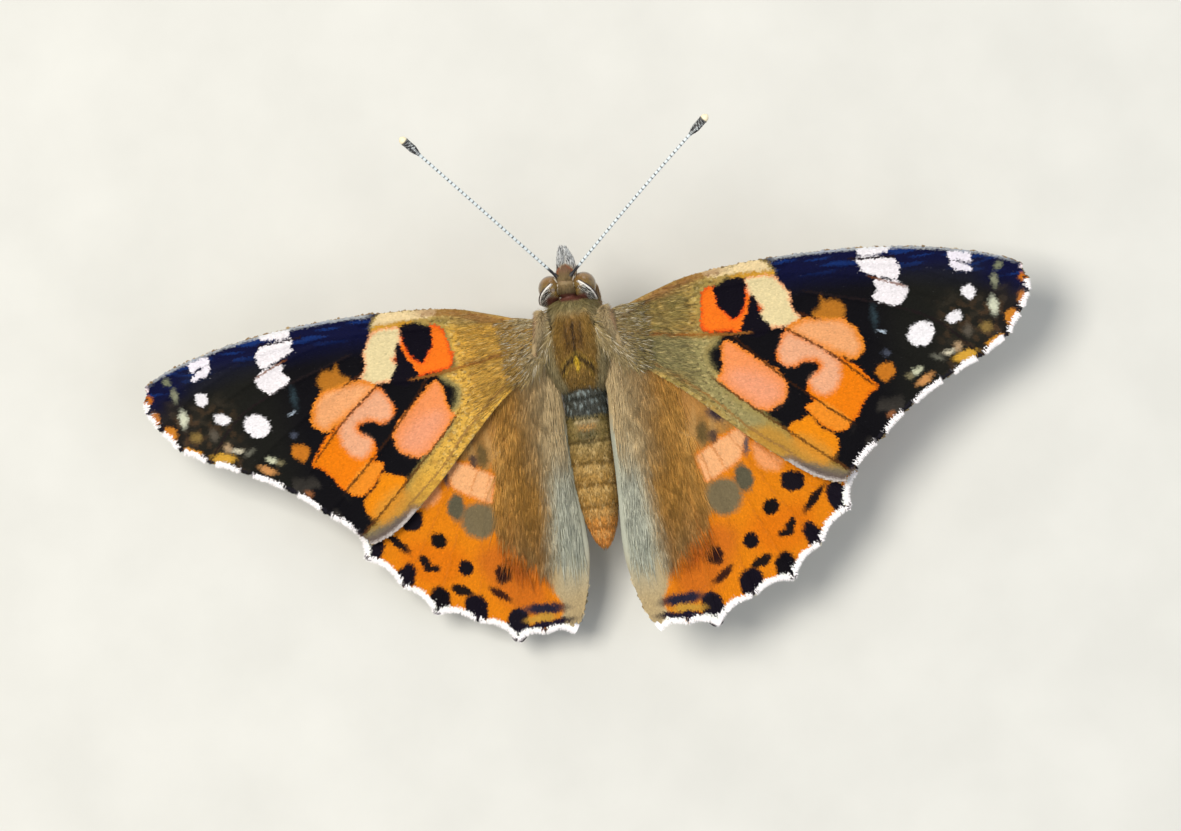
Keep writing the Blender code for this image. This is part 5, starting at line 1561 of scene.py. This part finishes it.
def makePalp(side):
    path, radii = mirroredPath(side, palpForm)

    def paint(along, _):
        return wash(plainColours("#cfd0cc", len(along)), ease(0.7, 0.95, along), "#5a5a5c")

    def hairColour(at, normals):
        white = wash(plainColours("#f4f6f6", len(at)), draws.uniform(0, 0.5, len(at)), "#a8b2b4")
        white = wash(white, ease(0.45, 0.2, at) * 0.7, "#9a7c50")
        dark = draws.uniform(0, 1, len(at)) < 0.22 + 0.1 * (normals[:, 2] > 0.3)
        return np.where(dark[:, None], np.array(linearColour("#1c1a20")), white)

    return (rollTube("palpCore_" + side, path, radii, 16, headPlace, paint),
            bristle("palpHair_" + side, path, radii, palpForm["hairs"], (0.3, 0.62), 0.021, 0.24,
                    headPlace, hairColour, (0.0, 0.93)))


# Proboscis: a coiled tube with fine rings
coilForm = {
    "centre": (0.0, 4.5, -2.65),
    "outer": 0.95,
    "inner": 0.3,
    "turns": 1.15,
    "start": 70.0,
    "radius": 0.17,
    "stations": 150,
}


def makeProboscis():
    form = coilForm
    t = np.linspace(0, 1, form["stations"])
    angle = math.radians(form["start"]) - 2 * math.pi * form["turns"] * t
    reach = form["outer"] + (form["inner"] - form["outer"]) * t
    path = np.stack([np.zeros(len(t)), np.cos(angle) * reach, np.sin(angle) * reach], axis=-1)
    path = np.vstack([[[0, form["outer"] * 0.4, form["outer"] * 1.9]], path]) + np.array(form["centre"])
    radii = form["radius"] * (0.94 + 0.06 * np.cos(np.arange(len(path)) * math.pi / 2))
    radii = radii * np.linspace(1.0, 0.8, len(path))
    return rollTube("proboscisCoil", path, radii, 16, headPlace)


# Feelers: a ringed shaft and a blunt club
antennaForm = {
    "length": 16.3,
    "rise": {"left": 22.0, "right": 12.0},
    "spread": {"left": 38.7, "right": 48.6},
    "base": (0.7, 5.0, 0.85),
    "bow": -0.08,
    "arch": 0.5,
    "shaft": 0.105,
    "club": 0.3,
    "clubLength": 2.2,
    "segments": 44,
}


def makeAntenna(side):
    form = antennaForm
    sign = sideSign(side)
    spread, rise = math.radians(form["spread"][side]), math.radians(form["rise"][side])
    base = np.array(form["base"]) * (sign, 1, 1)
    aim = np.array((sign * math.sin(spread) * math.cos(rise), math.cos(spread) * math.cos(rise),
                    math.sin(rise)))
    bow = np.array((sign * math.cos(spread) * form["bow"], -math.sin(spread) * form["bow"], form["arch"]))
    t = np.linspace(-0.04, 0.985, 330)
    path = base + aim * form["length"] * t[:, None] + bow * np.sin(math.pi * np.clip(t, 0, 1))[:, None]
    fromTip = (0.985 - t) * form["length"] / form["clubLength"]
    swell = np.clip(1 - fromTip, 0, 1)
    ring = (np.clip(t, 0, 1) * form["segments"]) % 1.0
    joint = 1 + 0.10 * ease(0.75, 0.95, ring) - 0.06 * ease(0.15, 0.0, ring)
    radii = (form["shaft"] + (form["club"] - form["shaft"]) * ease(0.0, 0.42, swell)) * joint
    radii = radii * np.sqrt(np.clip(1 - ease(0.80, 1.02, swell) ** 2, 0.02, 1))
    radii = radii * (1 + 0.9 * ease(0.012, -0.03, t))

    def paint(along, turn):
        u = np.clip(-0.04 + 1.025 * along, 0, 1)
        band = (u * form["segments"]) % 1.0
        colours = plainColours("#17161c", len(along))
        pale = ease(0.88, 0.74, band) * ease(0.0, 0.08, band) * ease(0.035, 0.06, u) * 0.95
        over = ease(-0.75, -0.1, np.sin(turn))
        colours = wash(colours, pale * (0.35 + 0.65 * over), "#dce7ea")
        tip = np.clip(1 - (0.985 - u) * form["length"] / form["clubLength"], 0, 1)
        colours = wash(colours, ease(0.02, 0.2, tip), "#121116")
        specks = blotches(along * 230, turn * 1.6, 1.5, 71, 0.25, 0.6) * ease(0.95, 0.35, tip)
        colours = wash(colours, specks * ease(0.02, 0.2, tip) * 0.85, "#dfe6e6")
        return wash(colours, ease(0.76, 0.82, tip), "#f2e6c4")

    return rollTube("feeler_" + side, path, radii, 14, headPlace, paint)


# Legs
walkingLegs = {
    # hips in the body frame, the other joints over the floor, for the right side
    "midleg": {"hip": (0.7, 0.4, -1.5), "joints": [(1.7, 0.9, 6.9), (5.4, 2.3, 7.8), (6.7, 3.2, 2.3),
                                                   (7.5, 3.7, 0.4), (9.3, 4.5, 0.17)]},
    "hindleg": {"hip": (0.7, -1.5, -1.5), "joints": [(1.5, -1.8, 6.7), (4.5, -4.1, 6.9), (5.8, -7.3, 2.2),
                                                     (6.5, -8.6, 0.4), (7.6, -10.4, 0.17)]},
}
legForm = {
    # girths are radii at places along the leg, one joint a unit: hip, thigh, shin, ankle, toes
    "places": (0, 0.9, 1.05, 1.5, 1.9, 2.05, 2.2, 2.9, 3.0, 3.1, 5.0),
    "girths": (0.42, 0.42, 0.26, 0.36, 0.26, 0.2, 0.2, 0.18, 0.17, 0.15, 0.13),
    "stations": (10, 34, 44, 20, 44),
    "toes": 5,
    "overFloor": 0.005,
    "spineOverFloor": 0.2,
    "spines": 70,
    "hairs": 900,
    "claw": {"start": 0.05, "bend": (0.16, 0.09, 0.03), "tip": (0.28, 0.13, -0.07),
             "radii": (0.045, 0.008)},
}


# the frame of the floor under the butterfly, without the body's lean
footing = Matrix.Translation(Vector(stance["standsAt"]))


def legColour(at, _):
    colours = plainColours("#b59a72", len(at))
    colours = wash(colours, ease(0.3, 0.9, draws.uniform(0, 1, len(at))) * 0.7, "#e0d2b4")
    return wash(colours, ease(0.55, 0.8, at) * 0.4, "#8a6238")


def legStations(kind, side):
    # stations from hip to toe tip, with each one's place along the joints
    leg, sign = walkingLegs[kind], sideSign(side)
    # the floor's frame has no lean; the hip is carried over from the body's frame
    hip = footing.inverted() @ bodyPlace @ Vector((leg["hip"][0] * sign, leg["hip"][1], leg["hip"][2]))
    joints = [np.array(hip)] + [np.array((x * sign, y, z)) for x, y, z in leg["joints"]]
    stations = []
    shares = []
    for number, (start, end, steps) in enumerate(zip(joints, joints[1:], legForm["stations"])):
        for step in range(steps):
            stations.append(start + (end - start) * step / steps)
            shares.append(number + step / steps)
    path = np.array(stations + [joints[-1]])
    for _ in range(6):
        path[1:-1] = (path[:-2] + path[1:-1] * 2 + path[2:]) / 4
    return path, np.array(shares + [5.0])


def makeClaws(name, path):
    # two hooked claws at the tip
    claw = legForm["claw"]
    ahead = unit(path[-1] - path[-6])
    aside = unit(np.cross(ahead, [0, 0, 1.0]))
    start = path[-1] - ahead * claw["start"]
    for sign, mark in ((-1, "_a"), (1, "_b")):
        bend, tip = [start + ahead * out + aside * sign * across + np.array([0, 0, up])
                     for out, across, up in (claw["bend"], claw["tip"])]
        yield rollTube("claw_" + name + mark, walkPath([start, bend, tip], 10),
                       np.linspace(*claw["radii"], 10), 8, footing)


def makeWalkingLeg(kind, side):
    form = legForm
    name = kind + "_" + side
    path, shares = legStations(kind, side)
    radii = np.interp(shares, form["places"], form["girths"])
    toes = np.clip((shares - 3) / 2, 0, 1) * form["toes"]
    radii = radii * (1 + 0.16 * ease(0.55, 0.95, toes % 1.0) * (shares > 3))
    path[:, 2] = np.maximum(path[:, 2], radii + form["overFloor"])

    def paint(along, turn):
        return wash(legColour(along, None), ease(0.3, 0.9, np.sin(turn)) * 0.3, "#7a5a38")

    made = [rollTube("leg_" + name, path, radii, 14, footing, paint)]
    made.append(bristle("legHair_" + name, path, radii, form["hairs"], (0.2, 0.42), 0.018, 0.25, footing,
                        legColour, (0.08, 0.66)))
    raised = path.copy()
    raised[:, 2] = np.maximum(raised[:, 2], form["spineOverFloor"])
    made.append(bristle("legSpines_" + name, raised, radii, form["spines"], (0.16, 0.28), 0.02, 0.6,
                        footing, lambda at, _: plainColours("#3a2614", len(at)), (0.36, 0.8)))
    return made + list(makeClaws(name, path))


forelegForm = {
    "path": [(0.6, 1.4, -1.5), (1.1, 2.5, -2.7), (1.45, 1.2, -3.6), (1.5, 2.9, -3.9), (1.4, 3.7, -3.8)],
    "radii": (0.3, 0.26, 0.22, 0.17, 0.08),
    "stations": 60,
    "hairs": 1300,
}


def makeForeleg(side):
    path, radii = mirroredPath(side, forelegForm)
    return (rollTube("legFront_" + side, path, radii, 14, bodyPlace, legColour),
            bristle("legFrontHair_" + side, path, radii, forelegForm["hairs"], (0.25, 0.5), 0.02, 0.4,
                    bodyPlace, legColour, (0.05, 0.97)))


# Materials

def newMaterial(name):
    # a material's tree, and the piece's own coordinates for its patterns
    material = bpy.data.materials.new(name)
    material.use_nodes = True
    tree = material.node_tree
    tree.nodes.clear()
    return material, tree, addNode(tree, "ShaderNodeTexCoord").outputs["Object"]


def addNoise(tree, places, grain, settings):
    noise = addNode(tree, "ShaderNodeTexNoise", {"Scale": 1 / (grain * mm), **settings}, {"Vector": places})
    return noise.outputs["Fac"]


def addRange(tree, value, low, high, top=1.0):
    # runs from low to high while the value runs from nought to top
    settings = {"From Max": top, "To Min": low, "To Max": high}
    return addNode(tree, "ShaderNodeMapRange", settings, {"Value": value}).outputs["Result"]


def addMarkings(tree, shade):
    # the piece's own markings, lightened and darkened
    markings = addNode(tree, "ShaderNodeAttribute", {"attribute_name": "markings"})
    mixed = addNode(tree, "ShaderNodeVectorMath", {"operation": "SCALE"},
                    {"Vector": markings.outputs["Color"], "Scale": shade})
    return mixed.outputs["Vector"]


def addSurface(tree, colour, height, relief, settings, links=None):
    bump = addNode(tree, "ShaderNodeBump", relief, {"Height": height})
    shader = addNode(tree, "ShaderNodeBsdfPrincipled", settings,
                     {"Base Color": colour, "Normal": bump.outputs["Normal"], **(links or {})})
    addNode(tree, "ShaderNodeOutputMaterial", None, {"Surface": shader.outputs["BSDF"]})


def paintedFinish(name, grain, unevenness, roughness, bumpDepth, settings):
    # colour from the piece's own markings, broken up by a grain of the given size in millimetres
    material, tree, places = newMaterial(name)
    noise = addNoise(tree, places, grain, {"Detail": 3.0, "Roughness": 0.6})
    colour = addMarkings(tree, addRange(tree, noise, 1 - unevenness, 1 + unevenness))
    rough = addRange(tree, noise, roughness - 0.08, roughness + 0.08)
    addSurface(tree, colour, noise, {"Strength": 0.5, "Distance": bumpDepth * mm}, settings,
               {"Roughness": rough})
    return material


# Wing scales are hollow chitin plates, ridged and full of air: a powdery, soft shine
scaleFinish = paintedFinish("chitinWingScales", 0.12, 0.06, 0.72, 0.006,
                            {"IOR": 1.5, "Specular IOR Level": 0.07})
# The membrane under them is clear chitin stained by the scales' feet: duller
membraneFinish = paintedFinish("chitinMembrane", 0.16, 0.12, 0.6, 0.02,
                               {"IOR": 1.5, "Specular IOR Level": 0.3})
# Hairs are drawn-out scales of solid chitin: a little silkier than the scales
hairFinish = paintedFinish("chitinHair", 0.3, 0.14, 0.5, 0.005, {"IOR": 1.55, "Specular IOR Level": 0.35})
# Body cuticle under the hair: rough, waxy chitin
cuticleFinish = paintedFinish("waxyCuticle", 0.22, 0.25, 0.7, 0.05, {"IOR": 1.5})
# Feelers and legs: cuticle with close-set scales
scaledHornFinish = paintedFinish("scaledCuticle", 0.09, 0.25, 0.5, 0.02, {"IOR": 1.55})


def eyeFinish():
    # Compound eye: polished clear cuticle over hexagonal lenses, pigment below.
    # The real lenses are 0.03 mm across, drawn at 0.08 mm so that they show.
    material, tree, places = newMaterial("compoundEyeCuticle")
    facets = addNode(tree, "ShaderNodeTexVoronoi", {"Scale": 1 / (0.08 * mm), "Randomness": 0.25},
                     {"Vector": places}).outputs["Distance"]
    # each lens painted lighter in its middle and darker at its edge: a painted highlight and painted shade
    colour = addMarkings(tree, addRange(tree, facets, 1.25, 0.55, 0.7))
    addSurface(tree, colour, facets, {"Strength": 0.35, "Distance": 0.012 * mm, "invert": True},
               {"Roughness": 0.22, "IOR": 1.5, "Coat Weight": 0.5, "Coat Roughness": 0.12})
    return material


def plainFinish(name, dark, light, grain, roughness, bumpDepth, settings):
    # two tones of one substance, mottled at the given grain in millimetres
    material, tree, places = newMaterial(name)
    noise = addNoise(tree, places, grain, {"Detail": 4.0})
    tones = addNode(tree, "ShaderNodeValToRGB", None, {"Fac": noise})
    for element, position, hexCode in zip(tones.color_ramp.elements, (0.35, 0.7), (dark, light)):
        element.position = position
        element.color = (*linearColour(hexCode), 1)
    addSurface(tree, tones.outputs["Color"], noise, {"Strength": 0.5, "Distance": bumpDepth * mm},
               {"Roughness": roughness, **settings})
    return material


# Proboscis: bare ringed cuticle, brown and faintly glossy
proboscisFinish = plainFinish("ringedCuticle", "#3a2010", "#6b4020", 0.25, 0.35, 0.02, {"IOR": 1.55})
# Claws: hard, dark, polished cuticle
clawFinish = plainFinish("clawCuticle", "#1c100a", "#3a2414", 0.1, 0.3, 0.004, {"IOR": 1.55})
# White rim of the eye: dense air-filled scales
whiteScaleFinish = plainFinish("whiteScales", "#d8d5cc", "#fbfaf6", 0.08, 0.65, 0.02, {"IOR": 1.5})
# Floor: matt pale board
floorFinish = plainFinish("mattBoard", "#cccdc8", "#d2d3ce", 9.0, 0.9, 0.02, {"IOR": 1.45})


def finishPiece(piece, material, replaced=()):
    piece.data.materials.clear()
    piece.data.materials.append(material)
    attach(piece, "root")
    if replaced:
        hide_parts(*replaced)


# Build every piece
for kind in ("forewing", "hindwing"):
    fields = wingFields(kind)
    for side in ("left", "right"):
        fields["side"] = side
        finishPiece(makeWingSkin(kind, side, fields), membraneFinish, [kind + "_" + side])
        for face in ("upper", "under"):
            finishPiece(makeScales(kind, side, face, fields), scaleFinish)
        for piece in makeFringe(kind, side, fields):
            finishPiece(piece, scaleFinish)
        finishPiece(makeWingHair(kind, side, fields), hairFinish)
        print(kind, side, "done")

finishPiece(makeBodySkin(), cuticleFinish, ["thorax", "abdomen", "head"])
for region in bodyHair:
    finishPiece(makeBodyHair(region), hairFinish)
print("body done")

eyeGlass = eyeFinish()
finishPiece(makeProboscis(), proboscisFinish, ["proboscis"])
for side in ("left", "right"):
    finishPiece(makeEye(side), eyeGlass, ["eye_" + side])
    for piece, finish in zip(makeEyeRim(side), (whiteScaleFinish, clawFinish, hairFinish, hairFinish)):
        finishPiece(piece, finish)
    for make, finish in ((makePad, cuticleFinish), (makePadHair, hairFinish), (makeRootHair, hairFinish)):
        finishPiece(make(side), finish)
    core, hairs = makePalp(side)
    finishPiece(core, cuticleFinish, ["palp_" + side])
    finishPiece(hairs, hairFinish)
    finishPiece(makeAntenna(side), scaledHornFinish, ["antenna_" + side])
    core, hairs = makeForeleg(side)
    finishPiece(core, scaledHornFinish, ["foreleg_" + side])
    finishPiece(hairs, hairFinish)
    for kind in walkingLegs:
        leg, hairs, spines, *claws = makeWalkingLeg(kind, side)
        finishPiece(leg, scaledHornFinish, [kind + "_" + side])
        finishPiece(hairs, hairFinish)
        finishPiece(spines, hairFinish)
        for claw in claws:
            finishPiece(claw, clawFinish)
print("head and legs done")


# Studio: pale floor, soft light, and the camera at the photo's angle
def makeFloor():
    bpy.ops.mesh.primitive_plane_add(size=4.0, location=(0, 0, -0.0002))
    floor = startPiece("floor")
    floor.data.materials.append(floorFinish)


# each: place in metres, size, power, colour
lamps = {
    "keyLight": ((-0.14, 0.05, 0.45), 0.22, 2.15, "#fff8ee"),
    "fillLight": ((0.3, -0.16, 0.32), 0.35, 0.65, "#f0f4ff"),
    "rimLight": ((0.1, 0.4, 0.12), 0.2, 0.25, "#ffffff"),
}


def makeLight(name, place, size, power, colour):
    bpy.ops.object.light_add(type="AREA", location=place)
    lamp = bpy.context.object
    lamp.name = name
    lamp.data.size = size
    lamp.data.energy = power
    lamp.data.color = linearColour(colour)
    lamp.rotation_euler = (Vector((0, 0, 0.008)) - Vector(place)).to_track_quat("-Z", "Y").to_euler()


def makeStudio():
    makeFloor()
    for name, values in lamps.items():
        makeLight(name, *values)
    world = bpy.data.worlds.new("studio")
    world.use_nodes = True
    background = world.node_tree.nodes["Background"]
    background.inputs["Color"].default_value = (*linearColour("#f4f6f8"), 1)
    background.inputs["Strength"].default_value = 0.42
    bpy.context.scene.world = world
    bpy.context.scene.view_settings.view_transform = "Standard"


# the photo's frame is 1181 pixels wide at 13.5 pixels to the millimetre, seen from nearly overhead
viewForm = {
    "tilt": 8.0,
    "aside": 7.0,
    "roll": 7.03,
    "pixelsPerMm": 13.5,
    "frameWidth": 1181,
    "frameHeight": 831,
    "rootPixel": (613, 322),
    "distance": 0.6,
    "sensor": 36.0,
}


def makeCamera():
    view = viewForm
    tilt = Matrix.Rotation(math.radians(view["tilt"]), 3, "X")
    aside = math.radians(view["aside"])
    right = tilt @ Vector((math.cos(aside), 0, -math.sin(aside)))
    ahead = tilt @ Vector((0, 1, 0))
    back = tilt @ Vector((math.sin(aside), 0, math.cos(aside)))
    roll = math.radians(view["roll"])
    across = right * math.cos(roll) - ahead * math.sin(roll)
    upward = right * math.sin(roll) + ahead * math.cos(roll)
    scale = view["pixelsPerMm"] / mm
    root = (bodyPlace @ Vector(wingRoot)) * mm
    middle = (view["frameWidth"] / 2, view["frameHeight"] / 2)
    target = (root + across * (middle[0] - view["rootPixel"][0]) / scale
              + upward * (view["rootPixel"][1] - middle[1]) / scale)
    bpy.ops.object.camera_add()
    camera = bpy.context.object
    camera.name = "photoView"
    camera.data.sensor_width = view["sensor"]
    camera.data.lens = view["sensor"] * view["distance"] / (view["frameWidth"] / scale)
    camera.data.clip_start = 0.01
    place = Matrix((across, upward, back)).transposed().to_4x4()
    place.translation = target + back * view["distance"]
    camera.matrix_world = place
    bpy.context.scene.camera = camera


makeStudio()
makeCamera()
print("studio done")
